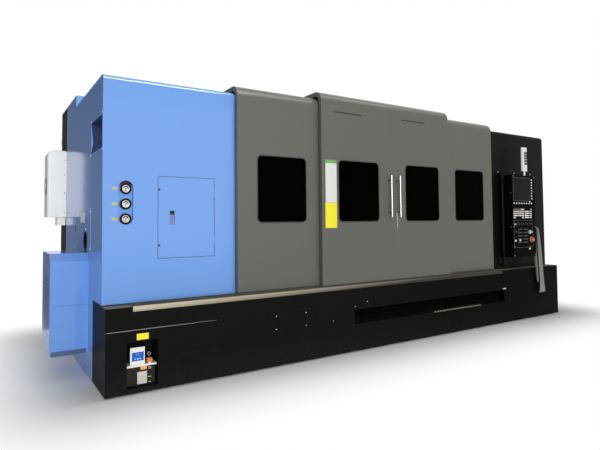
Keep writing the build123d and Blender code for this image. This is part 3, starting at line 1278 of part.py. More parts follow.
# Turret: body on the cross slide, indexing disc and its tool holders
turret_ups = (TURRET_UP - TURRET_HALF, TURRET_UP + TURRET_HALF)
turret = slope_block(TURRET_LEFT, TURRET_RIGHT, turret_ups, CROSS_TOP, TURRET_RISE)
for up in turret_ups:
    y, z = slope(up, TURRET_RISE)
    turret = fillet(edge_at(turret, Axis.X, y, z), TURRET_ROUND)
turret += slope_rod(TURRET_RIGHT, TURRET_RIGHT + TURRET_MOTOR_LENGTH, TURRET_UP, 0, TURRET_MOTOR_RADIUS)
shaft_end = TURRET_LEFT + DISC_SHAFT_LENGTH + CUT
turret -= slope_rod(TURRET_LEFT - CUT, shaft_end, TURRET_UP, 0, DISC_SHAFT_RADIUS + RUN_GAP)
save("turret_body", turret)

turret_y, turret_z = slope(TURRET_UP, 0)
turret_centre = Pos(0, turret_y, turret_z)
station_turn = 360 / DISC_STATIONS
corner_radius = DISC_RADIUS / cos(radians(station_turn / 2))
disc_outline = Rot(0, 0, station_turn / 2) * RegularPolygon(corner_radius, DISC_STATIONS)
disc = turret_centre * extrude(Plane.YZ.offset(DISC_LEFT) * disc_outline, DISC_THICK)
disc += turret_centre * rod_x(DISC_RIGHT, TURRET_LEFT + DISC_SHAFT_LENGTH, 0, 0, DISC_SHAFT_RADIUS)
disc += turret_centre * rod_x(DISC_LEFT - DISC_CAP_LENGTH, DISC_LEFT, 0, 0, DISC_CAP_RADIUS)
save("turret_disc", disc)

holder_left = DISC_LEFT + (DISC_THICK - HOLDER_LENGTH) / 2
holder_right = holder_left + HOLDER_LENGTH
holder_top = DISC_RADIUS + HOLDER_HEIGHT
holder = block(holder_left, holder_right, -HOLDER_WIDTH / 2, HOLDER_WIDTH / 2, DISC_RADIUS, holder_top)
shank_left = holder_left + HOLDER_WIDTH / 2
shank_right = shank_left + SHANK_WIDTH
shank_top = holder_top + SHANK_LENGTH
shank = block(shank_left, shank_right, -SHANK_WIDTH / 2, SHANK_WIDTH / 2, holder_top, shank_top)
turning_tool = holder + shank
bar_z = DISC_RADIUS + HOLDER_HEIGHT / 2
boring_tool = holder + rod_x(holder_left - BAR_LENGTH, holder_left, 0, bar_z, BAR_RADIUS)
tools = []
for n in range(DISC_STATIONS):
    tool = boring_tool if n % 2 else turning_tool
    tools.append((turret_centre * Rot(n * station_turn, 0, 0) * tool).solid())
save("tool_holders", Compound(tools))

# Tailstock: foot on its own ways with keepers, web and barrel, quill and live centre
tail_mid = -WAY_DROP + TAIL_FOOT_THICK
tail = slope_block(TAIL_LEFT, TAIL_RIGHT, TAIL_FOOT, SADDLE_BOTTOM, tail_mid)
outer_edge = TAIL_WAYS[0][0] - SEAT_GAP
inner_edge = TAIL_WAYS[1][1] + SEAT_GAP
for keeper in ((outer_edge - KEEPER_WIDTH, outer_edge), (inner_edge, inner_edge + KEEPER_WIDTH)):
    tail += slope_block(TAIL_LEFT, TAIL_RIGHT, keeper, keeper_bottom, SADDLE_BOTTOM)
barrel = TAIL_BARREL_RADIUS
tail_web = [
    slope(TAIL_FOOT[0], tail_mid),
    slope(TAIL_FOOT[1], tail_mid),
    slope(barrel, -barrel),
    slope(barrel, 0),
    slope(-barrel, 0),
    slope(TAIL_WEB_LOW, -TAIL_WEB_DROP),
]
tail += prism(tail_web, TAIL_LEFT + TAIL_WEB_INSET, TAIL_RIGHT - TAIL_WEB_INSET)
tail += spin_rod(TAIL_LEFT, TAIL_RIGHT, barrel)
tail -= spin_rod(TAIL_LEFT - CUT, TAIL_RIGHT + CUT, QUILL_RADIUS + RUN_GAP)
save("tailstock_body", tail)

quill_left = TAIL_LEFT - QUILL_OUT
quill = spin_rod(quill_left, quill_left + QUILL_LENGTH, QUILL_RADIUS)
quill -= spin_rod(quill_left - CUT, quill_left + CENTRE_SHANK + CUT, CENTRE_SHANK_RADIUS + RUN_GAP)
save("tailstock_quill", quill)

centre_right = quill_left - SEAT_GAP
cone_base = centre_right - CENTRE_BODY
centre = spin_rod(cone_base, centre_right, CENTRE_RADIUS)
centre += spin_rod(centre_right, quill_left + CENTRE_SHANK, CENTRE_SHANK_RADIUS)
cone = Cone(CENTRE_NECK_RADIUS, SEAT_GAP, CENTRE_TIP)
centre += Pos(cone_base - CENTRE_TIP / 2, SPINDLE_Y, SPINDLE_Z) * Rot(0, -90, 0) * cone
save("live_centre", centre)

# Electrical cabinet: sheet case with a middle post and drives, two doors, panel cooler
cabinet_back = COVER_DEPTH + CABINET_DEPTH - SHEET
cabinet = block(0, CABINET_LENGTH, COVER_DEPTH, cabinet_back, CABINET_PLINTH, REAR_HEIGHT)
cabinet -= block(
    SHEET,
    CABINET_LENGTH - SHEET,
    COVER_DEPTH + SHEET,
    cabinet_back + CUT,
    CABINET_PLINTH + SHEET,
    REAR_HEIGHT - SHEET,
)
cabinet_middle = CABINET_LENGTH / 2
half_post = CABINET_POST / 2
cabinet += block(
    cabinet_middle - half_post,
    cabinet_middle + half_post,
    cabinet_back - CABINET_POST_DEPTH,
    cabinet_back,
    CABINET_PLINTH + SHEET,
    REAR_HEIGHT - SHEET,
)
cabinet += block(
    CABINET_PLINTH_INSET,
    CABINET_LENGTH - CABINET_PLINTH_INSET,
    COVER_DEPTH + CABINET_PLINTH_INSET,
    cabinet_back - CABINET_PLINTH_INSET,
    0,
    CABINET_PLINTH,
)
drive_step = (CABINET_LENGTH - DRIVE_WIDTH) / DRIVE_COUNT
for n in range(DRIVE_COUNT):
    x0 = DRIVE_WIDTH / 2 + n * drive_step + (drive_step - DRIVE_WIDTH) / 2
    y0 = COVER_DEPTH + SHEET
    cabinet += block(x0, x0 + DRIVE_WIDTH, y0, y0 + DRIVE_DEPTH, DRIVE_BOTTOM, DRIVE_TOP)
save("electrical_cabinet", cabinet)

panel_front = cabinet_back + SEAT_GAP
panel_back = panel_front + SHEET
panel_bottom = CABINET_PLINTH + DOOR_GAP
panel_top = REAR_HEIGHT - DOOR_GAP
inset = DOOR_STIFFENER_INSET
wide = inset + DOOR_STIFFENER
ring_front = panel_front - DOOR_STIFFENER
half_boss = HANDLE_BOSS / 2
boss_bottom = (panel_bottom + panel_top - HANDLE_BOSS_HEIGHT) / 2
boss_top = boss_bottom + HANDLE_BOSS_HEIGHT
boss_back = panel_back + HANDLE_BOSS
panels = {
    "cabinet_door_left": (DOOR_GAP, cabinet_middle - DOOR_GAP, cabinet_middle - HANDLE_BOSS_INSET),
    "cabinet_door_right": (
        cabinet_middle + DOOR_GAP,
        CABINET_LENGTH - DOOR_GAP,
        cabinet_middle + HANDLE_BOSS_INSET,
    ),
}
for name, (x0, x1, boss_x) in panels.items():
    panel = block(x0, x1, panel_front, panel_back, panel_bottom, panel_top)
    ring = block(x0 + inset, x1 - inset, ring_front, panel_front, panel_bottom + inset, panel_top - inset)
    ring -= block(x0 + wide, x1 - wide, ring_front - CUT, panel_front, panel_bottom + wide, panel_top - wide)
    panel += ring
    panel += block(boss_x - half_boss, boss_x + half_boss, panel_back, boss_back, boss_bottom, boss_top)
    save(name, panel)

cooler = block(-COOLER_OUT, 0, COOLER_FRONT, COOLER_BACK, COOLER_BOTTOM, COOLER_TOP)
cooler = fillet(crosswise_at(cooler, -COOLER_OUT, COOLER_TOP), COOLER_TOP_ROUND)
cooler = fillet([upright_at(cooler, -COOLER_OUT, y) for y in (COOLER_FRONT, COOLER_BACK)], COOLER_ROUND)
slot_front = (COOLER_FRONT + COOLER_BACK - COOLER_SLOT_LENGTH) / 2
slot_deep = COOLER_SLOT_DEPTH - COOLER_OUT
for low in COOLER_SLOT_BOTTOMS:
    for n in range(COOLER_SLOT_COUNT):
        z = low + n * COOLER_SLOT_PITCH
        slot_back = slot_front + COOLER_SLOT_LENGTH
        cooler -= block(-COOLER_OUT - CUT, slot_deep, slot_front, slot_back, z, z + COOLER_SLOT_HEIGHT)
tab_bottom = COOLER_BOTTOM - COOLER_TAB
for y in (COOLER_FRONT + COOLER_TAB_WIDTH, COOLER_BACK - 2 * COOLER_TAB_WIDTH):
    cooler += block(-COOLER_TAB_DEPTH, 0, y, y + COOLER_TAB_WIDTH, tab_bottom, COOLER_BOTTOM)
save("panel_cooler", cooler)
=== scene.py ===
import json
import math
import bmesh
import bpy
import numpy as np
from mathutils import Matrix, Vector


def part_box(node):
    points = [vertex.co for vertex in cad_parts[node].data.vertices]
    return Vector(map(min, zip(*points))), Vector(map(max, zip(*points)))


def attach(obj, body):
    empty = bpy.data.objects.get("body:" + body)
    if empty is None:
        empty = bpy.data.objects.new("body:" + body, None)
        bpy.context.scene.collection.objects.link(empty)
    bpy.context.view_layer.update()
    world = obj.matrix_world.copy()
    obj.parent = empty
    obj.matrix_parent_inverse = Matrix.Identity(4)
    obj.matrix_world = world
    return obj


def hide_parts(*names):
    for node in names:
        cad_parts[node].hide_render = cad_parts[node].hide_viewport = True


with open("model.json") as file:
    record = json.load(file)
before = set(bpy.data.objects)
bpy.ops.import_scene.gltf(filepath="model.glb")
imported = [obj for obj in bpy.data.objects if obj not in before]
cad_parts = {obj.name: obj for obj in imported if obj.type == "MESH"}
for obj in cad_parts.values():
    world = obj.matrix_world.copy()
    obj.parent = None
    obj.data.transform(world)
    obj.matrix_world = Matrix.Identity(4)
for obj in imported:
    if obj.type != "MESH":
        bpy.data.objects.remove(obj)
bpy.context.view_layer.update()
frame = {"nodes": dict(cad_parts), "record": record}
bpy.context.view_layer.update()


# Studio: a pale seamless floor that turns white away from the machine, a white backdrop, a softbox
# overhead, two in front and one behind. Two strips above the front only show in gloss, where they draw
# the bright lines along the folds.
def add_node(tree, kind, values=None, **settings):
    """A shader node: settings are its own properties, values fill its sockets, and a socket is linked."""
    made = tree.nodes.new("ShaderNode" + kind)
    for name, setting in settings.items():
        setattr(made, name, setting)
    for name, value in (values or {}).items():
        if isinstance(value, bpy.types.NodeSocket):
            tree.links.new(value, made.inputs[name])
        else:
            made.inputs[name].default_value = value
    return made


def maths(tree, operation, *values, clamp=False):
    """One sum on numbers or sockets, as a socket."""
    return add_node(tree, "Math", dict(enumerate(values)), operation=operation, use_clamp=clamp).outputs[0]


def vector_maths(tree, operation, *values, output="Vector"):
    """One sum on vectors or their sockets, as a socket."""
    return add_node(tree, "VectorMath", dict(enumerate(values)), operation=operation).outputs[output]


def map_range(tree, value, *limits, shape="LINEAR"):
    """A value carried from one range to another, or to 0 and 1, and held at its ends."""
    inputs = dict(enumerate((value, *limits)))
    return add_node(tree, "MapRange", inputs, interpolation_type=shape).outputs[0]


def place_in(tree):
    """Where a point is in its object, as a socket."""
    return add_node(tree, "TexCoord").outputs["Object"]


def seen_directly(tree):
    """1 where a ray from the eye, from gloss or through glass arrives, 0 for light that only fills."""
    path = add_node(tree, "LightPath").outputs
    eye_or_gloss = maths(tree, "MAXIMUM", path["Is Camera Ray"], path["Is Glossy Ray"])
    return maths(tree, "MAXIMUM", eye_or_gloss, path["Is Transmission Ray"])


def emptied(owner):
    """The node tree of a world or material, without its first nodes."""
    owner.use_nodes = True
    owner.node_tree.nodes.clear()
    return owner.node_tree


SHARP_EDGE = math.radians(35)
MERGE_DISTANCE = 1e-6


def grid_object(name, sheets):
    """A mesh from point grids: every four neighbours in a grid make a face, points that fall together are
    merged, which closes seams and poles, and faces are turned outwards. Edges over 35 degrees stay sharp."""
    sheets = [part for sheet in sheets for part in (sheet if sheet.ndim == 4 else [sheet])]
    counts = np.cumsum([0] + [part.shape[0] * part.shape[1] for part in sheets])
    faces = []
    for part, first in zip(sheets, counts):
        index = np.arange(part.shape[0] * part.shape[1]).reshape(part.shape[:2]) + first
        corners = [index[:-1, :-1], index[1:, :-1], index[1:, 1:], index[:-1, 1:]]
        faces.append(np.stack(corners, -1).reshape(-1, 4))
    mesh = bpy.data.meshes.new(name)
    points = np.concatenate([part.reshape(-1, 3) for part in sheets])
    mesh.from_pydata(points.tolist(), [], np.concatenate(faces).tolist())
    work = bmesh.new()
    work.from_mesh(mesh)
    bmesh.ops.remove_doubles(work, verts=work.verts, dist=MERGE_DISTANCE)
    bmesh.ops.recalc_face_normals(work, faces=work.faces)
    work.to_mesh(mesh)
    work.free()
    mesh.polygons.foreach_set("use_smooth", np.ones(len(mesh.polygons), bool))
    mesh.set_sharp_from_angle(angle=SHARP_EDGE)
    made = bpy.data.objects.new(name, mesh)
    bpy.context.scene.collection.objects.link(made)
    return made


AMBIENT, AIR_COLOUR, WHITE = 0.32, (1.0, 0.985, 0.96, 1.0), (1.0, 1.0, 1.0, 1.0)
studio = bpy.data.worlds.new("studio_air")
bpy.context.scene.world = studio
air = emptied(studio)
fill = add_node(air, "Background", {"Color": AIR_COLOUR, "Strength": AMBIENT})
backdrop = add_node(air, "Background", {"Color": WHITE, "Strength": 1.0})
sky = add_node(air, "MixShader", {0: seen_directly(air), 1: fill.outputs[0], 2: backdrop.outputs[0]})
add_node(air, "OutputWorld", {"Surface": sky.outputs[0]})

FLOOR_REACH, FLOOR_RINGS, FLOOR_TURNS = 60.0, 25, 49
FLOOR_COLOUR = (0.9, 0.9, 0.9, 1.0)
FLOOR_WHITE_FROM, FLOOR_WHITE_TO = 0.05, 1.3
FOOTPRINT_HALF = (3.4, 1.35, 0.0)
rings, turn = np.meshgrid(
    np.linspace(0, FLOOR_REACH, FLOOR_RINGS), np.linspace(0, 2 * np.pi, FLOOR_TURNS), indexing="ij"
)
floor = grid_object("floor", [np.stack([rings * np.cos(turn), rings * np.sin(turn), 0 * rings], -1)])
pale = bpy.data.materials.new("pale_floor")
tree = emptied(pale)
apart = vector_maths(tree, "SUBTRACT", vector_maths(tree, "ABSOLUTE", place_in(tree)), FOOTPRINT_HALF)
apart = vector_maths(tree, "MAXIMUM", apart, (0.0, 0.0, 0.0))
away = vector_maths(tree, "LENGTH", apart, output="Value")
white = map_range(tree, away, FLOOR_WHITE_FROM, FLOOR_WHITE_TO, shape="SMOOTHSTEP")
matt = add_node(tree, "BsdfDiffuse", {"Color": FLOOR_COLOUR})
glow = add_node(tree, "Emission", {"Color": WHITE, "Strength": 1.0})
hazed = maths(tree, "MULTIPLY", white, seen_directly(tree))
seamless = add_node(tree, "MixShader", {0: hazed, 1: matt.outputs[0], 2: glow.outputs[0]})
add_node(tree, "OutputMaterial", {"Surface": seamless.outputs[0]})
floor.data.materials.append(pale)

SOFTBOXES = {
    "overhead_softbox": ((0.0, -0.9, 7.6), (0.0, -0.4, 0.0), (6.6, 2.0), 215.0),
    "front_softbox": ((0.6, -9.5, 2.6), (0.6, -1.0, 1.2), (7.0, 4.0), 60.0),
    "front_left_softbox": ((-6.0, -17.0, 3.4), (-2.0, 0.0, 1.2), (6.0, 5.0), 1500.0),
    "rear_softbox": ((-1.0, 9.0, 5.0), (0.0, 1.0, 1.2), (7.0, 4.0), 230.0),
    "left_strip": ((-0.77, -7.25, 8.8), (-0.77, -1.25, 2.78), (4.2, 2.4), 1050.0),
    "right_strip": ((2.58, -4.25, 9.0), (2.58, -1.25, 2.8), (7.0, 2.0), 215.0),
}
GLOSS_FREE, GLOSS_ONLY = ("overhead_softbox", "rear_softbox"), ("left_strip", "right_strip")
for name, (stand, aim, size, power) in SOFTBOXES.items():
    lamp = bpy.data.lights.new(name, "AREA")
    lamp.shape = "RECTANGLE"
    lamp.size, lamp.size_y = size
    lamp.energy = power
    softbox = bpy.data.objects.new(name, lamp)
    softbox.visible_glossy = name not in GLOSS_FREE
    softbox.visible_diffuse = name not in GLOSS_ONLY
    bpy.context.scene.collection.objects.link(softbox)
    look = Vector(aim) - Vector(stand)
    softbox.matrix_world = Matrix.Translation(stand) @ look.to_track_quat("-Z", "Y").to_matrix().to_4x4()

# Dark card: it lies on the floor and stands up off the rear left corner, beyond what the eye sees, so that
# the glossy left end is met by something darker than the backdrop. It only shows in gloss.
CARD_NEAR, CARD_FAR, CARD_WIDTH, CARD_HEIGHT = 1.9, 8.5, 7.0, 7.0
CARD_RIGHT, CARD_LIFT, CARD_COLUMNS = -3.9, 0.004, 9
CARD_FADE = (1.5, 4.5, 0.08, 0.0)
FELT_SCALE, FELT_SHARE = 3.0, 0.04
card_profile = np.array([(CARD_NEAR, CARD_LIFT), (CARD_FAR, CARD_LIFT), (CARD_FAR, CARD_HEIGHT)])
card_sheet = np.empty((CARD_COLUMNS, len(card_profile), 3))
card_sheet[..., 0] = np.linspace(CARD_RIGHT - CARD_WIDTH, CARD_RIGHT, CARD_COLUMNS)[:, None]
card_sheet[..., 1:] = card_profile
card = grid_object("dark_card", [card_sheet])
card_paint = bpy.data.materials.new("card_grey")
card_paint.use_nodes = True
tree = card_paint.node_tree
felt = add_node(tree, "TexNoise", {"Vector": place_in(tree), "Scale": FELT_SCALE}).outputs[0]
card_height = add_node(tree, "SeparateXYZ", {0: place_in(tree)}).outputs[2]
card_tone = maths(tree, "MULTIPLY_ADD", felt, FELT_SHARE, map_range(tree, card_height, *CARD_FADE))
tree.links.new(card_tone, tree.nodes["Principled BSDF"].inputs["Base Color"])
card.data.materials.append(card_paint)
card.visible_camera = card.visible_diffuse = card.visible_shadow = card.visible_transmission = False


# Camera: stands off the front left corner at shoulder height, turned towards the doors. Its place and
# turn were fitted to the photograph's straight edges; the picture is 600 by 450.
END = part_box("left_end_cover")[0].x
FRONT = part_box("headstock_cover")[0].y


def at(x, y, z):
    """A place given from the covers' left end, back from the blue cover's front and up from the floor."""
    return np.array([END + x, FRONT + y, z])


PICTURE_WIDTH, PICTURE_HEIGHT = 600.0, 450.0
FOCAL_PIXELS = 491.89
AXIS_X, AXIS_Y = 300.5, 202.0
SENSOR = 36.0
EYE = (-0.8681, -4.5016, 1.4654)
YAW, PITCH, ROLL = (math.radians(angle) for angle in (32.8688, 2.2769, -0.4874))
ahead = np.array([math.sin(YAW) * math.cos(PITCH), math.cos(YAW) * math.cos(PITCH), math.sin(PITCH)])
level = np.array([math.cos(YAW), -math.sin(YAW), 0.0])
upright = np.cross(level, ahead)
axes = np.eye(4)
axes[:3, 0] = math.cos(ROLL) * level + math.sin(ROLL) * upright
axes[:3, 1] = math.cos(ROLL) * upright - math.sin(ROLL) * level
axes[:3, 2] = -ahead
axes[:3, 3] = at(*EYE)
eye = bpy.data.cameras.new("camera")
eye.sensor_fit = "HORIZONTAL"
eye.sensor_width = SENSOR
eye.lens = FOCAL_PIXELS / PICTURE_WIDTH * SENSOR
eye.shift_x = (PICTURE_WIDTH / 2 - AXIS_X) / PICTURE_WIDTH
eye.shift_y = (AXIS_Y - PICTURE_HEIGHT / 2) / PICTURE_WIDTH
camera = bpy.data.objects.new("camera", eye)
bpy.context.scene.collection.objects.link(camera)
camera.matrix_world = Matrix(axes.tolist())
bpy.context.scene.camera = camera
bpy.context.scene.view_settings.view_transform = "Standard"


# Surface of painted, plastic and cast pieces: colour clouds, faint runs down the sheet, dust that lies
# on ledges and near the floor, paint rubbed off at edges, a fine grain and a slow wave in the sheet.
def tint(red, green, blue):
    """An eye colour of 0 to 255 as the linear colour that shaders take."""
    share = np.array([red, green, blue]) / 255
    linear = np.where(share <= 0.04045, share / 12.92, ((share + 0.055) / 1.055) ** 2.4)
    return (*linear.tolist(), 1.0)


def new_group(name, inputs):
    """A shader node group that gives a colour, a roughness and a normal; its sockets come back with it."""
    kinds = {float: "NodeSocketFloat", tuple: "NodeSocketColor"}
    outputs = {"Colour": "NodeSocketColor", "Roughness": "NodeSocketFloat", "Normal": "NodeSocketVector"}
    made = bpy.data.node_groups.new(name, "ShaderNodeTree")
    for label, start in inputs.items():
        socket = made.interface.new_socket(label, in_out="INPUT", socket_type=kinds[type(start)])
        socket.default_value = start
    for label, kind in outputs.items():
        made.interface.new_socket(label, in_out="OUTPUT", socket_type=kind)
    return made, made.nodes.new("NodeGroupInput").outputs, made.nodes.new("NodeGroupOutput").inputs


def noise(tree, where, scale, detail=3.0):
    """Smooth cloudy noise about 0.5 at a number of lumps to the metre."""
    values = {"Vector": where, "Scale": scale, "Detail": detail, "Roughness": 0.55}
    return add_node(tree, "TexNoise", values).outputs[0]


def swing(tree, value, amount):
    """Noise about 0.5 turned into a swing of plus or minus half the amount."""
    return maths(tree, "MULTIPLY", maths(tree, "SUBTRACT", value, 0.5), amount)


def blend_colours(tree, share, first, second):
    """The first colour where share is 0, the second where it is 1."""
    return add_node(tree, "Mix", {0: share, 6: first, 7: second}, data_type="RGBA").outputs[2]


def relief(tree, height, **more):
    """The normal of a surface that is raised by a height in metres."""
    return add_node(tree, "Bump", {"Height": height, "Strength": 1.0, "Distance": 1.0, **more}).outputs[0]


CLOUD_SCALE, SPECK_SCALE, WAVE_SCALE = 1.7, 21.0, 2.3
RUN_STRETCH = (13.0, 13.0, 0.7)
SPECK_ROUGHNESS, DUST_ROUGHNESS, EDGE_GAIN = 0.09, 0.3, 5.0
LYING_GAIN, RUBBED_GAIN = (1.6, -0.8), (2.4, -0.6)
skin, given, result = new_group("painted_skin", {
    "Colour": (0.5, 0.5, 0.5, 1.0),
    "Rubbed Colour": (0.6, 0.6, 0.6, 1.0),
    "Dust Colour": tint(150, 142, 128),
    "Roughness": 0.35,
    "Clouds": 0.08,
    "Runs": 0.05,
    "Dust": 0.25,
    "Dust Height": 0.5,
    "Rub": 0.5,
    "Edge": 0.002,
    "Grain Scale": 420.0,
    "Grain Depth": 0.00001,
    "Wave Depth": 0.0004,
})
place = place_in(skin)
stretched = add_node(skin, "Mapping", {"Vector": place, "Scale": RUN_STRETCH}).outputs[0]
clouds = noise(skin, place, CLOUD_SCALE)
runs = noise(skin, stretched, 1.0, 4.0)
specks = noise(skin, place, SPECK_SCALE, 5.0)
grain = noise(skin, place, given["Grain Scale"], 2.0)
wave = noise(skin, place, WAVE_SCALE, 1.0)
value = maths(skin, "ADD", 1.0, swing(skin, clouds, given["Clouds"]))
value = maths(skin, "ADD", value, swing(skin, runs, given["Runs"]))
shaded = add_node(skin, "HueSaturation", {"Value": value, "Color": given["Colour"]}).outputs[0]
facing = add_node(skin, "NewGeometry").outputs["Normal"]
height = add_node(skin, "SeparateXYZ", {0: place}).outputs[2]
level_up = add_node(skin, "SeparateXYZ", {0: facing}).outputs[2]
lying = maths(skin, "MULTIPLY_ADD", level_up, *LYING_GAIN, clamp=True)
low = maths(skin, "SUBTRACT", 1.0, maths(skin, "DIVIDE", height, given["Dust Height"]), clamp=True)
dusty = maths(skin, "MULTIPLY", maths(skin, "ADD", lying, low), specks)
dusty = maths(skin, "MULTIPLY", dusty, given["Dust"], clamp=True)
rounded = add_node(skin, "Bevel", {"Radius": given["Edge"]}, samples=4).outputs[0]
straight = vector_maths(skin, "DOT_PRODUCT", rounded, facing, output="Value")
edge = maths(skin, "MULTIPLY", maths(skin, "SUBTRACT", 1.0, straight), EDGE_GAIN, clamp=True)
rubbed = maths(skin, "MULTIPLY_ADD", specks, *RUBBED_GAIN, clamp=True)
rubbed = maths(skin, "MULTIPLY", maths(skin, "MULTIPLY", rubbed, edge), given["Rub"])
dulled = blend_colours(skin, dusty, shaded, given["Dust Colour"])
skin.links.new(blend_colours(skin, rubbed, dulled, given["Rubbed Colour"]), result["Colour"])
rough = maths(skin, "ADD", given["Roughness"], swing(skin, specks, SPECK_ROUGHNESS))
skin.links.new(maths(skin, "MULTIPLY_ADD", dusty, DUST_ROUGHNESS, rough, clamp=True), result["Roughness"])
depth = maths(skin, "MULTIPLY", grain, given["Grain Depth"])
depth = maths(skin, "MULTIPLY_ADD", wave, given["Wave Depth"], depth)
skin.links.new(relief(skin, depth, Normal=rounded), result["Normal"])


# Base: the frame is a grey painted casting on levelling pads. Its black apron is folded sheet, powder
# coated with a fine grain, scuffed at the edges and dusty along the floor; the coolant tank slides under it.
CONSTANTS = {
    "specular": "Specular IOR Level",
    "metallic": "Metallic",
    "transmission": "Transmission Weight",
    "ior": "IOR",
}


def shader(name, **constants):
    """A new material with the sockets of its Principled shader, on which constants are set."""
    made = bpy.data.materials.new(name)
    made.use_nodes = True
    surface = made.node_tree.nodes["Principled BSDF"].inputs
    for label, value in constants.items():
        surface[CONSTANTS[label]].default_value = value
    return made, made.node_tree, surface


def worn(group, name, colour, **values):
    """A finish from a node group. Values that are the shader's constants go there, the others to the group,
    and colours are eye colours."""
    constants = {label: values.pop(label) for label in CONSTANTS if label in values}
    made, tree, surface = shader(name, **constants)
    inputs = {"Colour": tint(*colour)}
    for label, value in values.items():
        inputs[label.replace("_", " ").title()] = tint(*value) if isinstance(value, tuple) else value
    outputs = add_node(tree, "Group", inputs, node_tree=group).outputs
    for socket, output in (("Base Color", "Colour"), ("Roughness", "Roughness"), ("Normal", "Normal")):
        tree.links.new(outputs[output], surface[socket])
    return made


def coated(name, colour, **values):
    """A painted, plastic or cast finish."""
    return worn(skin, name, colour, **values)


def small(name, colour, roughness, clouds, rub, dust=0.25, **values):
    """The finish of a small coated piece, which has no slow wave as a wide sheet has."""
    given = dict(roughness=roughness, clouds=clouds, rub=rub, dust=dust, wave_depth=0.0)
    return coated(name, colour, **given, **values)


def dress(finish, *nodes):
    """Gives CAD nodes a finish."""
    for node in nodes:
        slots = frame["nodes"][node].data.materials
        slots.clear()
        slots.append(finish)


def second_finish(node, finish, chosen):
    """Gives some of a CAD node's faces a second finish: those chosen by their middles and normals."""
    mesh = frame["nodes"][node].data
    middles, normals = np.empty((len(mesh.polygons), 3)), np.empty((len(mesh.polygons), 3))
    mesh.polygons.foreach_get("center", middles.ravel())
    mesh.polygons.foreach_get("normal", normals.ravel())
    mesh.materials.append(finish)
    index = np.empty(len(mesh.polygons), np.int32)
    mesh.polygons.foreach_get("material_index", index)
    index[chosen((middles - at(0.0, 0.0, 0.0)).T, normals.T)] = len(mesh.materials) - 1
    mesh.polygons.foreach_set("material_index", index)


def between(values, low, high):
    """True for values between two limits."""
    return (values > low) & (values < high)


def shaded_along(finish, start, end, first, second, top=0.0, lag=0.0):
    """Lets a finish go from one colour to another between two distances from the left end. Below the top
    the change comes sooner, by the lag for each metre down."""
    tree = finish.node_tree
    place = add_node(tree, "SeparateXYZ", {0: place_in(tree)}).outputs
    across = maths(tree, "MULTIPLY_ADD", maths(tree, "SUBTRACT", top, place[2]), lag, place[0])
    share = map_range(tree, across, END + start, END + end)
    group = next(made for made in tree.nodes if made.type == "GROUP")
    tree.links.new(blend_colours(tree, share, tint(*first), tint(*second)), group.inputs["Colour"])


FACING = 0.9
BLACK_LEFT, BLACK_SHADED_RIGHT, BLACK_SHADE_FROM, BLACK_SHADE_TO = (20, 20, 19), (5, 5, 5), 2.4, 5.6
powder = dict(
    roughness=0.4, clouds=0.2, runs=0.16, dust_height=0.3, grain_scale=330.0, grain_depth=0.00003, rub=0.55,
    rubbed_colour=(96, 94, 90),
)
powder_black = coated("powder_black", BLACK_LEFT, specular=0.06, dust=0.12, **powder)
apron_black = coated("apron_black", BLACK_LEFT, specular=0.02, dust=0.04, **powder)
# Both blacks are painted darker towards the right end as painted shade.
for finish in (powder_black, apron_black):
    shaded_along(finish, BLACK_SHADE_FROM, BLACK_SHADE_TO, BLACK_LEFT, BLACK_SHADED_RIGHT)
frame_grey = coated(
    "cast_grey", (112, 114, 112), roughness=0.5, clouds=0.16, dust=0.4, grain_scale=160.0,
    grain_depth=0.00012, rubbed_colour=(150, 148, 142),
)
dress(frame_grey, "base_frame")
dress(apron_black, "front_apron", "coolant_tank")
LEDGE_HEIGHT = 0.745
TOE_LEFT, TOE_RIGHT, TOE_TOP, TOE_MOUTH = 2.654, 5.391, 0.4725, -0.15
ledge_plate = coated(
    "ledge_plate", (122, 117, 104), specular=0.05, roughness=0.7, clouds=0.25, runs=0.1, dust=0.2, rub=0.5,
    rubbed_colour=(150, 146, 136),
)
# The toe recess's faces are painted near black as painted shade.
recess_shade_black = coated("recess_shade_black", (4, 4, 4), specular=0.0, roughness=0.6, clouds=0.3, dust=0.05, rub=0.2)


def on_ledge(middle, normal):
    """True for the top of the apron's ledge."""
    return (normal[2] > FACING) & (middle[2] > LEDGE_HEIGHT)


def in_shaded_toe_recess(middle, normal):
    """True for the faces inside the toe recess, which are painted near black as shade."""
    return between(middle[0], TOE_LEFT, TOE_RIGHT) & (middle[1] > TOE_MOUTH) & (middle[2] < TOE_TOP)


second_finish("front_apron", ledge_plate, on_ledge)
second_finish("front_apron", recess_shade_black, in_shaded_toe_recess)


# Apron trim: a folded lip runs along the seam of the upper and lower sheet; its bright colour is a painted
# highlight that fades out to the right. Cap screws hold the raised plates, a row of rivets painted pale as a
# painted glint stands on the tank's top edge, and two blank plates are stuck on.
FRONTWARD = np.array([[1.0, 0.0, 0.0], [0.0, 0.0, 1.0]])
LEFTWARD = np.array([[0.0, -1.0, 0.0], [0.0, 0.0, 1.0]])
RIGHTWARD = np.array([[0.0, 1.0, 0.0], [0.0, 0.0, 1.0]])
BACKWARD = np.array([[-1.0, 0.0, 0.0], [0.0, 0.0, 1.0]])
UPWARD = np.array([[1.0, 0.0, 0.0], [0.0, 1.0, 0.0]])
LOOK_FROM = 9.0


def lay(points, spots, side):
    """Points given across, up and out are carried to spots on a side: spot + across a + up b + out c,
    where out is across x up. Several spots give several copies."""
    turned_points = points @ np.vstack([side, np.cross(*side)])
    spots = np.asarray(spots)
    return spots + turned_points if spots.ndim == 1 else spots[:, None, None, :] + turned_points


def on(node, place, side):
    """Where a CAD node's skin is met by looking along a side's way in at a place."""
    out = np.cross(*side)
    hit, spot, _, _ = frame["nodes"][node].ray_cast(Vector(place + LOOK_FROM * out), Vector(-out))
    if not hit:
        raise ValueError(f"{node} isn't met at {place}")
    return np.array(spot)


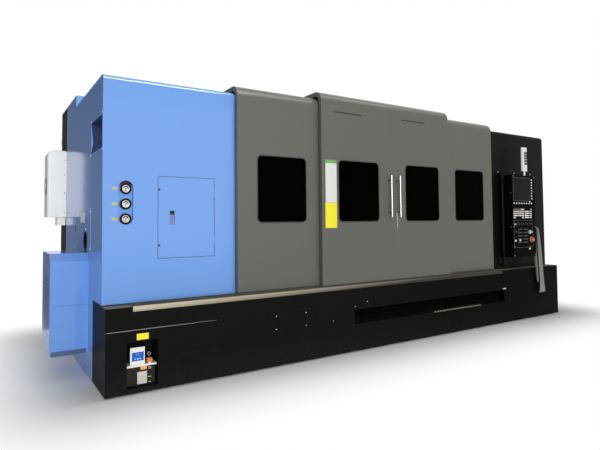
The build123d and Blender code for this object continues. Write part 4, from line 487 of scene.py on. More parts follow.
def front_of(node, x, z):
    """Where a CAD node is met from the front, at a distance from the left end and a height."""
    return on(node, at(x, 0.0, z), FRONTWARD)


def left_of(node, y, z):
    """Where a CAD node is met from the left, at a distance back and a height."""
    return on(node, at(0.0, y, z), LEFTWARD)


def turned(profile, sides=16):
    """A turned form: each radius and height of the profile goes round the outward axis."""
    radius, rise = np.array(profile, float).T
    angle = np.linspace(0, 2 * np.pi, sides + 1)
    across = np.outer(radius, np.cos(angle))
    return np.stack([across, np.outer(radius, np.sin(angle)), np.outer(rise, np.ones_like(angle))], -1)


def outline(width, height, corner, steps=5):
    """A rounded rectangle as a closed loop: four arcs of the corner radius about its corner centres.
    The directions in which the arcs bulge come with it."""
    quarter = np.linspace(0, np.pi / 2, steps)
    angle = (np.arange(4)[:, None] * np.pi / 2 + quarter).ravel()
    bulge = np.stack([np.cos(angle), np.sin(angle)], -1)
    signs = np.repeat(np.array([[1, 1], [-1, 1], [-1, -1], [1, -1]]), steps, axis=0)
    loop = signs * np.array([width / 2 - corner, height / 2 - corner]) + corner * bulge
    return np.vstack([loop, loop[:1]]), np.vstack([bulge, bulge[:1]])


def plate(width, height, corner=0.003, thick=0.001, edge=0.0004):
    """A plate with rounded corners: its outline at the back and at the front, drawn in by the front's
    bevelled edge, closed to the middle on both faces."""
    loop, bulge = outline(width, height, corner)
    drawn_in = loop - edge * bulge
    levels = [(0 * loop, 0.0), (loop, 0.0), (loop, thick - edge), (drawn_in, thick), (0 * loop, thick)]
    return np.stack([np.column_stack([ring, np.full(len(ring), rise)]) for ring, rise in levels])


def screw_head(radius, sides=10):
    """A low domed head with a key socket in its middle, turned."""
    rises = [(0.0, 0.25), (0.45, 0.25), (0.52, 0.6), (0.8, 0.5), (1.0, 0.2), (1.0, 0.0), (0.0, 0.0)]
    return turned([(radius * share, radius * rise) for share, rise in rises], sides)


def piece(name, sheets, finish, body="machine"):
    """A new piece from point grids, with its finish and the body that it rides on."""
    made = grid_object(name, sheets)
    made.data.materials.append(finish)
    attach(made, body)


def fixed(name, shape, spots, finish, body="machine", side=FRONTWARD):
    """A new piece of one shape, laid at one spot or several on a side."""
    piece(name, [lay(shape, spots, side)], finish, body)


LIP_RADIUS, LIP_START, LIP_END, LIP_HEIGHT = 0.0022, 0.006, 1.0, 0.547
LIP_HIGHLIGHT_FADE = 0.55
lip_highlight = coated(
    "lip_painted_highlight", (150, 146, 136), roughness=0.38, clouds=0.5, runs=0.4, dust=0.1, rub=0.8, wave_depth=0.0,
)
# The lip's pale colour is a painted highlight, fading to black towards the right.
shaded_along(lip_highlight, LIP_HIGHLIGHT_FADE, LIP_END, (158, 154, 144), (26, 26, 25))
apron_front = front_of("front_apron", 1.2, 0.65)[1] - FRONT
lip_length = LIP_END - LIP_START
lip = turned([(0, 0), (LIP_RADIUS, 0), (LIP_RADIUS, lip_length), (0, lip_length)], 8)
fixed("apron_lips", lip, at(LIP_START, apron_front, LIP_HEIGHT), lip_highlight, side=RIGHTWARD)

PLATE_SCREW = 0.0062
PLATE_SCREWS = (
    (1.638, 0.51), (2.0, 0.51), (2.0, 0.378), (1.637, 0.38), (2.355, 0.381), (2.661, 0.505), (2.84, 0.547),
)
zinc = small("zinc_screw", (186, 184, 178), 0.3, 0.2, 0.2, metallic=0.9, grain_depth=0.000004)
spots = [front_of("front_apron", x, z) for x, z in PLATE_SCREWS]
fixed("apron_screws", screw_head(PLATE_SCREW), spots, zinc)

RIVET_COUNT, RIVET_FROM, RIVET_TO, RIVET_BACK = 19, 3.962, 4.84, -0.149
rivet = turned([(0, 0.011), (0.003, 0.0105), (0.005, 0.008), (0.0056, 0.0), (0, 0.0)], 8)
# The rivets are painted near white as a painted glint.
rivet_glint_pale = small("rivet_glint_pale", (252, 244, 216), 0.4, 0.1, 0.1, 0.0)
across = np.linspace(RIVET_FROM, RIVET_TO, RIVET_COUNT)
spots = [on("coolant_tank", at(x, RIVET_BACK, 0), UPWARD) for x in across]
fixed("tank_rivets", rivet, spots, rivet_glint_pale, side=UPWARD)

paper_white = small("plate_white", (232, 233, 228), 0.42, 0.05, 0.1, 0.05)
paper_yellow = small("plate_yellow", (240, 226, 24), 0.4, 0.06, 0.1, 0.05)
toe_tan = small("plate_tan", (206, 196, 160), 0.45, 0.1, 0.1, 0.1)
fixed("toe_plate", plate(0.07, 0.018), front_of("front_apron", 5.388, 0.487), toe_tan)
niche_spot = front_of("front_apron", 0.3085, 0.486)
fixed("niche_plate", plate(0.102, 0.054), niche_spot, paper_yellow)


# Lubricator in the apron's niche: a pale moulded pump box with a blue key panel stands on a white shelf
# beside an orange filler cap; a smoked oil jar hangs under the shelf with blank labels and a level gauge.
SHELF_BOTTOM, PUMP_TOP = 0.2215, 0.36
moulded_pale = coated(
    "moulded_pale", (236, 236, 230), roughness=0.45, clouds=0.05, runs=0.04, dust=0.12, grain_scale=900.0,
    grain_depth=0.00003, wave_depth=0.0001, rub=0.1,
)
smoked_jar = coated(
    "smoked_jar", (38, 31, 24), transmission=0.25, specular=0.06, roughness=0.18, clouds=0.5, runs=0.2,
    dust=0.1, grain_depth=0.0, wave_depth=0.0006, rub=0.1,
)


def jar_and_shaded_sides(middle, normal):
    """True for the oil jar under the shelf, and for the pump box's left side and lid, which take the jar's
    dark colour as painted shade.
    """
    lid = (middle[2] > PUMP_TOP) & (normal[2] > FACING)
    return (middle[2] < SHELF_BOTTOM) | (normal[0] < -FACING) | lid


# The jar's smoked colour is its own; on the box's left side and lid it is painted shade.
dress(moulded_pale, "lubricator")
second_finish("lubricator", smoked_jar, jar_and_shaded_sides)
PUMP_MIDDLE, LID_LINE = 0.2775, 0.368
KEY_PLACES, KEY_HEIGHT = (0.257, 0.279, 0.302), 0.288
PANEL_THICK = np.array([0.0, -0.0014, 0.0])
pump_face = front_of("lubricator", PUMP_MIDDLE, 0.31)[1] - FRONT
jar_face = front_of("lubricator", 0.3, 0.14)[1] - FRONT
panel_blue = small("key_panel_blue", (8, 104, 208), 0.3, 0.06, 0.0, 0.04, specular=0.1)
display_grey = small("display_grey", (112, 118, 124), 0.2, 0.3, 0.0, 0.02)
panel = plate(0.102, 0.0755, 0.004, 0.0015, 0.0006)
fixed("pump_panel", panel, at(0.2805, pump_face, 0.307), panel_blue)
display = plate(0.034, 0.022, 0.003, 0.0012, 0.0005)
fixed("pump_display", display, at(0.281, pump_face, 0.3255) + PANEL_THICK, display_grey)
key = turned([(0, 0.0024), (0.0045, 0.0022), (0.006, 0.0012), (0.006, 0), (0, 0)], 14)
spots = [at(x, pump_face, KEY_HEIGHT) + PANEL_THICK for x in KEY_PLACES]
fixed("pump_keys", key, spots, paper_white)
lid_lip = plate(0.124, 0.006, 0.0025, 0.003, 0.0012)
fixed("pump_lid_lip", lid_lip, at(PUMP_MIDDLE, pump_face, LID_LINE), moulded_pale)

CAP_RIBS, RIB_DEPTH, RIBBED_FROM = 9, 0.0011, 0.025
cap_angle = np.linspace(0, 2 * np.pi, 73)
cap_radius = np.array([0.0, 0.0165, 0.0222, 0.0252, 0.0252, 0.0243, 0.0185])[:, None]
cap_rise = np.array([0.0035, 0.0035, 0.0028, -0.001, -0.0285, -0.0304, -0.0304])[:, None]
ribs = RIB_DEPTH * np.abs(np.sin(CAP_RIBS * cap_angle))
cap_round = cap_radius - np.where(cap_radius > RIBBED_FROM, ribs, 0.0)
cap_across, cap_up = cap_round * np.cos(cap_angle), cap_round * np.sin(cap_angle)
cap = np.stack([cap_across, cap_up, cap_rise + 0 * cap_round], -1)
cap_orange = small("cap_orange", (240, 136, 60), 0.42, 0.1, 0.2, 0.1, specular=0.2)
cap_spot = on("lubricator", at(0.382, -0.098, 0.0), UPWARD)
fixed("filler_cap", cap, cap_spot, cap_orange, side=UPWARD)

STEM_LENGTH = 0.112
bezel_steel = small("bezel_steel", (172, 172, 168), 0.28, 0.2, 0.5, metallic=0.85)
rubber = coated(
    "belt_rubber", (22, 22, 23), roughness=0.7, clouds=0.2, dust=0.3, grain_scale=700.0, grain_depth=0.00005,
)
niche_back = front_of("front_apron", 0.384, 0.312)
stem_tip = niche_back + np.array([0.0, -STEM_LENGTH, 0.0])
gauge_stem = turned([
    (0, 0), (0.007, 0), (0.007, 0.1), (0.011, 0.1), (0.011, STEM_LENGTH), (0, STEM_LENGTH),
], 12)
dial_ring = turned([
    (0.011, 0), (0.0155, 0), (0.0165, 0.011), (0.0155, 0.014), (0.0125, 0.014), (0.012, 0.011), (0, 0.011),
    (0, 0),
], 24)
gauge_parts = [lay(gauge_stem, niche_back, FRONTWARD), lay(dial_ring, stem_tip, FRONTWARD)]
piece("pump_gauge", gauge_parts, bezel_steel)
dial_dark = turned([(0, 0.0125), (0.0119, 0.0122), (0.0119, 0.0112), (0, 0.0112)], 24)
fixed("pump_gauge_face", dial_dark, stem_tip, rubber)

LEVEL_X = 0.3835
WHITE_MARKS, YELLOW_MARK = ((0.206, 0.004), (0.192, 0.006), (0.075, 0.004)), (0.12, 0.006)


def level_mark(z, high):
    """One mark of the oil level, on the jar's front."""
    return lay(plate(0.024, high, 0.001, 0.0012), at(LEVEL_X, jar_face, z), FRONTWARD)


plate_orange = small("plate_orange", (232, 178, 84), 0.4, 0.08, 0.1, 0.05)
jar_label = small("plate_grey_white", (200, 199, 192), 0.5, 0.1, 0.1, 0.08)
fixed("jar_tag", plate(0.056, 0.031), at(0.331, jar_face, 0.204), plate_orange)
fixed("jar_label", plate(0.084, 0.105, 0.004), at(0.318, jar_face, 0.1205), jar_label)
piece("level_marks", [level_mark(*mark) for mark in WHITE_MARKS], paper_white)
piece("level_mark_low", [level_mark(*YELLOW_MARK)], paper_yellow)


# Bed, headstock and motor: iron castings painted grey where they are not machined. The belt drive is
# rubber on cast pulleys. All of it stands behind the covers and shows when the doors are open.
iron = coated(
    "painted_iron", (96, 100, 102), roughness=0.48, clouds=0.15, dust=0.2, dust_height=0.9, grain_scale=150.0,
    grain_depth=0.00015, rubbed_colour=(150, 150, 148),
)
dress(iron, "bed", "headstock", "spindle_motor", "spindle_pulley", "motor_pulley")
dress(iron, "tailstock_body", "turret_body", "saddle")
dress(rubber, "drive_belt")

# Machined and bright steel: fine marks drawn along the piece, small changes of polish, a film of oil in
# clouds and light wear at the edges.
DRAWN_STRETCH, FILM_SCALE, LINE_DEPTH = (2.0, 420.0, 420.0), 6.0, 0.000006
LINE_ROUGHNESS, STAIN_ROUGHNESS, STAIN_GAIN = 0.16, 0.2, (2.0, -0.8)
metal, given, result = new_group("drawn_metal", {
    "Colour": (0.6, 0.6, 0.6, 1.0),
    "Stain Colour": tint(110, 96, 74),
    "Roughness": 0.3,
    "Stain": 0.3,
    "Marks": 0.2,
    "Edge": 0.001,
})
place = place_in(metal)
drawn = add_node(metal, "Mapping", {"Vector": place, "Scale": DRAWN_STRETCH}).outputs[0]
lines = noise(metal, drawn, 1.0, 4.0)
film = noise(metal, place, FILM_SCALE, 4.0)
value = maths(metal, "ADD", 1.0, swing(metal, lines, given["Marks"]))
toned = add_node(metal, "HueSaturation", {"Value": value, "Color": given["Colour"]}).outputs[0]
stained = maths(metal, "MULTIPLY_ADD", film, *STAIN_GAIN, clamp=True)
stained = maths(metal, "MULTIPLY", stained, given["Stain"])
metal.links.new(blend_colours(metal, stained, toned, given["Stain Colour"]), result["Colour"])
rough = maths(metal, "ADD", given["Roughness"], swing(metal, lines, LINE_ROUGHNESS))
dull = maths(metal, "MULTIPLY", stained, STAIN_ROUGHNESS)
metal.links.new(maths(metal, "ADD", rough, dull, clamp=True), result["Roughness"])
rounded = add_node(metal, "Bevel", {"Radius": given["Edge"]}, samples=4).outputs[0]
depth = maths(metal, "MULTIPLY", lines, LINE_DEPTH)
metal.links.new(relief(metal, depth, Normal=rounded), result["Normal"])


def bright(name, colour, **values):
    """A bare metal finish."""
    return worn(metal, name, colour, metallic=1.0, **values)


ground_steel = bright("ground_steel", (178, 178, 174), roughness=0.26, stain=0.25)
dress(ground_steel, "spindle_bearings", "spindle", "chuck_cylinder", "chuck_body")
dress(ground_steel, "chuck_jaw_1", "chuck_jaw_2", "chuck_jaw_3", "cross_slide", "turret_disc")
dress(ground_steel, "tool_holders", "tailstock_quill", "live_centre")
dress(bright("screw_steel", (164, 162, 156), roughness=0.2, stain=0.4), "z_ballscrew")


# Work area details: the ball screw's thread is a narrow dark steel band wound round it, painted as the shade
# in its groove, and two cap screws hold each jaw on the chuck. They show when the doors are open.
SCREW_PITCH, THREAD_WIDE, THREAD_PROUD, THREAD_ROOT, TURN_STEPS = 0.02, 0.007, 0.0002, -0.0004, 12
screw_low, screw_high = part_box("z_ballscrew")
screw_radius = (screw_high.z - screw_low.z) / 2
screw_turns = (screw_high.x - screw_low.x - 2 * SCREW_PITCH) / SCREW_PITCH
wound = np.linspace(0, 2 * np.pi * screw_turns, int(TURN_STEPS * screw_turns) + 1)
thread_across = np.array([-0.5, -0.5, 0.5, 0.5]) * THREAD_WIDE
thread_rise = screw_radius + np.array([THREAD_ROOT, THREAD_PROUD, THREAD_PROUD, THREAD_ROOT])
thread = np.stack([
    screw_low.x + SCREW_PITCH + SCREW_PITCH * wound[:, None] / (2 * np.pi) + thread_across,
    (screw_low.y + screw_high.y) / 2 + thread_rise * np.cos(wound)[:, None],
    (screw_low.z + screw_high.z) / 2 + thread_rise * np.sin(wound)[:, None],
], -1)
groove_shade_and_jaw_screws = bright("thread_groove_shade_and_jaw_screws", (84, 82, 78), roughness=0.35, stain=0.5)
piece("screw_thread", [thread], groove_shade_and_jaw_screws, "z_screw")
SPINDLE_Y, SPINDLE_Z = 0.805, 1.289
LARGE_SCREW = 0.009
JAW_SCREWS = (-0.012, 0.024)
for number in (1, 2, 3):
    low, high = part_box(f"chuck_jaw_{number}")
    middle = np.array([0.0, (low.y + high.y) / 2, (low.z + high.z) / 2])
    outward = middle - np.array([0.0, FRONT + SPINDLE_Y, SPINDLE_Z])
    outward /= np.linalg.norm(outward)
    spots = [on(f"chuck_jaw_{number}", middle + share * outward, RIGHTWARD) for share in JAW_SCREWS]
    jaw_head = screw_head(LARGE_SCREW)
    fixed(f"jaw_{number}_screws", jaw_head, spots, groove_shade_and_jaw_screws, f"jaw_{number}", RIGHTWARD)


# Headstock cover, end sheets, hatch, access door and motor cover: folded steel sheet in one glossy blue
# paint, hung on the frame. Edges are folds; their paler blue is partly a little wear and partly a painted
# highlight. The faces inside the left end's pocket are painted navy as shade.
# The paler blue on edges is partly wear and partly a painted highlight.
BLUE, BLUE_WORN_AND_HIGHLIT = (108, 156, 226), (168, 200, 246)
POCKET_BACK, POCKET_LOW = 0.01, 2.1
blue_gloss = coated(
    "blue_gloss", BLUE, specular=0.45, roughness=0.12, clouds=0.04, runs=0.025, dust=0.08, dust_height=0.35,
    rub=0.3, edge=0.004, rubbed_colour=BLUE_WORN_AND_HIGHLIT, wave_depth=0.0005, grain_depth=0.000004,
)
pocket_shade_navy = small("pocket_shade_navy", (20, 42, 92), 0.45, 0.1, 0.2, 0.1, specular=0.2)


def in_shaded_pocket(middle, normal):
    """True for the faces inside the left end's pocket, which are painted navy as shade."""
    return (middle[0] > POCKET_BACK) & (middle[2] > POCKET_LOW)


dress(blue_gloss, "headstock_cover", "access_door", "left_end_cover", "end_hatch", "motor_cover")
# The pocket's inside is painted navy as shade.
second_finish("left_end_cover", pocket_shade_navy, in_shaded_pocket)


# Pressure gauges: three bought dials in black bezels stand in a dished blue mount, painted darker towards its
# top and navy on its side wall as painted shadow. Each has a white face with ticks, a dark arc, a needle and
# a hub under glass, and a blank tag.
def spun(points, angle):
    """Points turned about the outward axis by an angle."""
    cosine, sine = math.cos(angle), math.sin(angle)
    return points @ np.array([[cosine, sine, 0.0], [-sine, cosine, 0.0], [0.0, 0.0, 1.0]])


def clouded(name, scale, detail, first, second, roughness, **constants):
    """A smooth finish whose colour and roughness follow one field of cloudy noise."""
    made, tree, surface = shader(name, **constants)
    film = noise(tree, place_in(tree), scale, detail)
    tree.links.new(blend_colours(tree, film, first, second), surface["Base Color"])
    tree.links.new(maths(tree, "MULTIPLY_ADD", film, *roughness), surface["Roughness"])
    return made


GAUGE_X, GAUGE_HEIGHTS = 0.198, (1.771, 1.635, 1.502)
GAUGE_RADIUS, DIAL_RADIUS = 0.0497, 0.0335
DISH_SHADE, SHADE_FROM, SHADE_STEEP, SHADE_RUN = (10, 18, 44), 1.782, -40.0, 1.2
gauge_black = small("gauge_black", (8, 9, 14), 0.4, 0.1, 0.2, 0.05, specular=0.06)
dish_blue = coated(
    "dish_blue", BLUE, specular=0.3, roughness=0.2, clouds=0.04, runs=0.025, dust=0.08, rub=0.3,
    rubbed_colour=BLUE_WORN_AND_HIGHLIT, wave_depth=0.0, grain_depth=0.000004,
)
# The dish's blue is painted darker towards its top as painted shadow.
shaded_along(dish_blue, GAUGE_X, GAUGE_X + SHADE_RUN, BLUE, DISH_SHADE, SHADE_FROM, SHADE_STEEP)
dish_wall_shade_navy = small("dish_wall_shade_navy", DISH_SHADE, 0.5, 0.1, 0.1, 0.05, specular=0.05)
axles = np.array([(GAUGE_X, z) for z in GAUGE_HEIGHTS])


def on_a_gauge(middle, normal):
    """True for faces nearer to a gauge's axle than the gauge's radius."""
    return np.linalg.norm(middle[::2].T[:, None] - axles, axis=2).min(axis=1) < GAUGE_RADIUS


def on_shaded_dish_wall(middle, normal):
    """True for the wall of the dish round the gauges, whose faces look sideways; it is painted navy as shade.
    """
    return (np.abs(normal[1]) < 0.5) & (middle[1] > 0.0) & ~on_a_gauge(middle, normal)


dress(dish_blue, "pressure_gauges")
second_finish("pressure_gauges", gauge_black, on_a_gauge)
second_finish("pressure_gauges", dish_wall_shade_navy, on_shaded_dish_wall)
faces = [front_of("pressure_gauges", GAUGE_X, z) for z in GAUGE_HEIGHTS]
bezel = turned([
    (DIAL_RADIUS, 0), (DIAL_RADIUS, 0.006), (0.0365, 0.0092), (0.0465, 0.0092), (0.0495, 0.0065), (0.0495, 0),
    (DIAL_RADIUS, 0),
], 40)
fixed("gauge_bezels", bezel, faces, gauge_black)
dial = turned([(0, 0.001), (DIAL_RADIUS, 0.001), (DIAL_RADIUS, 0.0), (0, 0.0)], 40)
dial_white = small("dial_white", (194, 191, 184), 0.5, 0.06, 0.0, 0.05)
fixed("gauge_dials", dial, faces, dial_white)

TICK_ANGLES = np.radians(np.linspace(-130, 130, 11))
ARC_ANGLES, ARC_INSIDE, ARC_WIDE = np.radians(np.linspace(20, 160, 25)), 0.0165, 0.008
NEEDLE_TURN, NEEDLE_LOW, NEEDLE_HIGH = -0.75, 0.0026, 0.0032
tick = plate(0.0018, 0.005, 0.0003, 0.0006, 0.0002) + np.array([0.0, 0.029, 0.0009])
arc_angle, arc_share = np.meshgrid(ARC_ANGLES, np.array([0.0, 1.0, 1.0, 0.0, 0.0]), indexing="ij")
arc_radius = ARC_INSIDE + ARC_WIDE * arc_share
arc_rise = np.broadcast_to(np.array([0.0012, 0.0012, 0.0016, 0.0016, 0.0012]), arc_radius.shape)
arc = np.stack([arc_radius * np.cos(arc_angle), arc_radius * np.sin(arc_angle), arc_rise], -1)
hub = turned([(0, 0.0042), (0.0035, 0.0042), (0.0042, 0.003), (0.0042, 0.0008), (0, 0.0008)], 14)
needle_half = np.array([0.0026, 0.0024, 0.001])
needle_along = np.array([-0.012, 0.0, 0.029])
needle_edges = ((-1, NEEDLE_LOW), (1, NEEDLE_LOW), (1, NEEDLE_HIGH), (-1, NEEDLE_HIGH), (-1, NEEDLE_LOW))
needle = np.stack([
    np.column_stack([hand * needle_half, needle_along, np.full(3, rise)]) for hand, rise in needle_edges
])
mark = plate(0.014, 0.005, 0.001, 0.0005, 0.0002) + np.array([0.0, -0.019, 0.0009])
inked = [spun(tick, angle) for angle in TICK_ANGLES] + [arc, hub, spun(needle, NEEDLE_TURN), mark]
piece("gauge_markings", [lay(shape, faces, FRONTWARD) for shape in inked], gauge_black)
CLEAR, SMUDGED = (0.97, 0.98, 0.98, 1.0), (0.9, 0.92, 0.92, 1.0)
glass = clouded("gauge_glass", 90.0, 3.0, CLEAR, SMUDGED, (0.08, 0.0), transmission=1.0, ior=1.15)
lens = turned([
    (0, 0.0075), (0.02, 0.0072), (DIAL_RADIUS, 0.0058), (DIAL_RADIUS, 0.0048), (0.02, 0.0062), (0, 0.0065),
], 40)
fixed("gauge_glasses", lens, faces, glass)

TAG_X, SIDE_TAG_X = 0.102, 0.062
tag = plate(0.044, 0.024, 0.004)
tag_orange = small("tag_orange", (188, 164, 136), 0.45, 0.1, 0.1)
tag_green = small("tag_green", (112, 160, 170), 0.45, 0.1, 0.1)
tag_yellow = small("tag_yellow", (188, 184, 50), 0.45, 0.1, 0.1)
tag_spots = [front_of("headstock_cover", TAG_X, z) for z in GAUGE_HEIGHTS]
fixed("gauge_tags", tag, tag_spots[1:], tag_yellow)
fixed("gauge_tag_top", tag, tag_spots[0], tag_orange)
side_tag = plate(0.03, 0.024, 0.004, 0.0008, 0.0003)
side_spot = front_of("headstock_cover", SIDE_TAG_X, GAUGE_HEIGHTS[0])
fixed("gauge_tag_side", side_tag, side_spot, tag_green)


# Access door fittings: a lever latch lies in a pressed pan whose faces are painted black as shade, two
# slotted quarter-turn locks hold the door's left edge, and a thin rubber seal lies round the doorway.
def bead(width, height, corner, profile, steps=5):
    """A moulding: a small closed profile, given along the bulge of a rounded rectangle's outline and
    outwards, carried round that outline."""
    loop, bulge = outline(width, height, corner, steps)
    profile = np.array(profile, float)
    across = loop[:, None, :] + profile[None, :, :1] * bulge[:, None, :]
    rise = np.broadcast_to(profile[None, :, 1:], (len(loop), len(profile), 1))
    return np.concatenate([across, rise], -1)


def band(half, high):
    """The profile of a flat band, for a bead."""
    return [(-half, 0.0), (-half, high), (half, high), (half, 0.0), (-half, 0.0)]


DOOR_X, DOOR_Z, DOOR_WIDE, DOOR_HIGH = 0.7605, 1.516, 0.553, 0.754
PAN_LEFT, PAN_RIGHT, PAN_LOW, PAN_HIGH = 0.594, 0.641, 1.449, 1.577
LOCKS, LOCK_TURN = ((0.496, 1.772), (0.497, 1.258)), 0.6
cover_face = front_of("headstock_cover", 0.46, 1.3)[1] - FRONT
seal = bead(DOOR_WIDE, DOOR_HIGH, 0.004, band(0.0024, 0.0006))
fixed("access_seal", seal, at(DOOR_X, cover_face, DOOR_Z), rubber)
dress(small("latch_grey", (104, 122, 176), 0.35, 0.1, 0.5, grain_scale=900.0), "access_latch")


def in_shaded_latch_pan(middle, normal):
    """True for the faces inside the pan that the latch lies in, which are painted black as shade."""
    return between(middle[0], PAN_LEFT, PAN_RIGHT) & between(middle[2], PAN_LOW, PAN_HIGH)


# The pan's faces take the black rubber finish as painted shade.
second_finish("access_door", rubber, in_shaded_latch_pan)
lock_dark = small("lock_dark", (46, 48, 56), 0.35, 0.1, 0.6, metallic=0.4)
lock = turned([(0, 0.0015), (0.0105, 0.0015), (0.0115, 0.0008), (0.0115, 0), (0, 0)], 18)
bar = spun(plate(0.019, 0.004, 0.001, 0.0032, 0.0008), LOCK_TURN)
spots = [front_of("access_door", x, z) for x, z in LOCKS]
lock_parts = [lay(lock, spots, FRONTWARD), lay(bar, spots, FRONTWARD)]
piece("door_locks", lock_parts, lock_dark, "access_door")


# Left end: screws hold the pocket's rim and the spindle hatch, a dark knob stands on a stem in the pocket,
# and the hatch carries a slotted catch, a hole's rubber rim and a blank plate.
POCKET_SCREWS = ((0.02, 2.44), (0.555, 2.44), (0.02, 2.115), (0.555, 2.115))
HATCH_SCREWS = ((0.56, 1.58), (1.0, 1.58), (1.435, 1.58), (0.56, 1.22), (1.435, 1.22), (0.784, 1.408))
spots = [left_of("left_end_cover", y, z) for y, z in POCKET_SCREWS]
spots += [left_of("end_hatch", y, z) for y, z in HATCH_SCREWS]
fixed("end_screws", screw_head(LARGE_SCREW), spots, zinc, side=LEFTWARD)
knob = turned([
    (0, 0), (0.009, 0), (0.008, 0.045), (0.012, 0.05), (0.02, 0.056), (0.024, 0.066), (0.024, 0.082),
    (0.019, 0.09), (0, 0.092),
], 24)
knob_spot = left_of("left_end_cover", 0.33, 2.26)
fixed("pocket_knob", knob, knob_spot, lock_dark, side=LEFTWARD)
catch = plate(0.026, 0.067, 0.012, 0.0022, 0.0009)
catch_spot = left_of("end_hatch", 1.43, 1.4155)
fixed("hatch_catch", catch, catch_spot, gauge_black, side=LEFTWARD)
hatch_white = small("hatch_plate_white", (222, 228, 232), 0.7, 0.08, 0.2, 0.05, specular=0.1)
hatch_plate = plate(0.24, 0.1, 0.004, 0.0012, 0.0005)
plate_spot = left_of("end_hatch", 0.98, 1.5225)
fixed("hatch_plate", hatch_plate, plate_spot, hatch_white, side=LEFTWARD)
RIM_INSIDE, RIM_TOP, RIM_OUTSIDE = 0.091, 0.095, 0.1
hole_rim = turned([
    (RIM_INSIDE, -0.002), (RIM_INSIDE, 0.002), (RIM_TOP, 0.0035), (RIM_OUTSIDE, 0.002), (RIM_OUTSIDE, 0.0),
    (RIM_INSIDE, -0.002),
], 40)
hatch_face = left_of("end_hatch", 0.56, 1.3)[0]
spindle_middle = np.array([hatch_face, FRONT + SPINDLE_Y, SPINDLE_Z])
fixed("hole_rim", hole_rim, spindle_middle, rubber, side=LEFTWARD)


# Motor cover details: punched vents in staggered rows on the end, shown as dark discs painted as the shade
# inside the holes, a dark seam where the lower sheet laps the upper, and a skirt under it painted a darker
# blue as shade.
VENT_ROWS, VENT_COUNT, VENT_PITCH, VENT_RADIUS, VENT_RISE = 13, 10, 0.043, 0.008, 0.0003
VENT_Y, VENT_Z = 0.725, 0.405
row, column = np.meshgrid(np.arange(VENT_ROWS), np.arange(VENT_COUNT), indexing="ij")
motor_end = left_of("motor_cover", VENT_Y, VENT_Z)[0]
vent_y = FRONT + VENT_Y + VENT_PITCH * (column + 0.5 * (row % 2)).ravel()
vent_spots = np.column_stack([np.full(vent_y.size, motor_end), vent_y, VENT_Z + VENT_PITCH * row.ravel()])
vent = turned([(0, VENT_RISE), (VENT_RADIUS, VENT_RISE), (VENT_RADIUS, 0.0)], 12)
vent_shade_dark = small("vent_shade_dark", (34, 42, 60), 0.7, 0.2, 0.0, 0.2, specular=0.0)
fixed("motor_vents", vent, vent_spots, vent_shade_dark, side=LEFTWARD)
MOTOR_X, SEAM_HEIGHT, SEAM_PROUD, SKIRT_HEIGHT, SKIRT_LIFT = -0.17, 0.69, 0.0012, 0.046, 0.001
SEAM_SHORTER, SKIRT_SHORTER = 0.045, 0.032
motor_low, motor_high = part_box("motor_cover")
motor_width = motor_high.x - motor_low.x
seam_and_skirt_shade_blue = small("blue_shadow", (62, 84, 124), 0.4, 0.1, 0.1, 0.1)
seam = plate(motor_width - SEAM_SHORTER, 0.003, 0.001, SEAM_PROUD)
fixed("motor_seam", seam, front_of("motor_cover", MOTOR_X, SEAM_HEIGHT), seam_and_skirt_shade_blue)
# The skirt's darker blue is painted shade; the seam's is a dark joint.
skirt = plate(motor_width - SKIRT_SHORTER, SKIRT_HEIGHT, 0.003, SEAM_PROUD, 0.0005)
skirt_spot = front_of("motor_cover", MOTOR_X, motor_low.z + SKIRT_HEIGHT / 2 + SKIRT_LIFT)
fixed("motor_skirt", skirt, skirt_spot, seam_and_skirt_shade_blue)


# Bulkhead, sliding rails, hoods and rear cover: the bulkhead and rails are brushed stainless. The door rail
# is painted darker to the right and lower down as painted shade, and its top and what lies behind its lip are
# painted dark as shade. Hoods and rear are folded sheet in one grey; the rear is blue behind the headstock.
RAIL_PALE, RAIL_SHADED, RAIL_SHADE_FROM, RAIL_SHADE_TO, RAIL_SHADE_LAG = (176, 166, 146), (60, 58, 54), 1.6, 5.2, 40.0
RAIL_BACK = -0.15
brushed = dict(roughness=0.34, stain=0.2, marks=0.3)
dress(bright("brushed_stainless", RAIL_PALE, **brushed), "bulkhead", "top_rail")
rail_steel = bright("rail_stainless", (150, 141, 124), **brushed)
rail_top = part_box("door_rail")[1].z
shaded_along(rail_steel, RAIL_SHADE_FROM, RAIL_SHADE_TO, RAIL_PALE, RAIL_SHADED, rail_top, RAIL_SHADE_LAG)
dress(rail_steel, "door_rail")
rail_shade_dark = small("rail_shade_dark", (72, 69, 62), 0.5, 0.3, 0.4, 0.3, specular=0.1)


def rail_shade(middle, normal):
    """True for the rail's top and for what lies behind its front lip, which are painted dark as shade."""
    return (normal[2] > FACING) | (middle[1] > RAIL_BACK)


second_finish("door_rail", rail_shade_dark, rail_shade)
HEAD_RIGHT, SEAM_WIDE, GREY = 1.285, 0.002, (92, 93, 86)
hood_sheet = dict(
    specular=0.35, roughness=0.3, clouds=0.05, runs=0.03, dust=0.05, dust_height=0.9, rub=0.25, edge=0.003,
    rubbed_colour=(140, 139, 132), wave_depth=0.0004, grain_depth=0.000006,
)
dress(coated("hood_grey", GREY, **hood_sheet), "left_cover", "left_door", "right_door", "right_cover")
rear_paint = coated("rear_paint", GREY, **hood_sheet)
shaded_along(rear_paint, HEAD_RIGHT, HEAD_RIGHT + SEAM_WIDE, BLUE, GREY)
dress(rear_paint, "rear_cover")


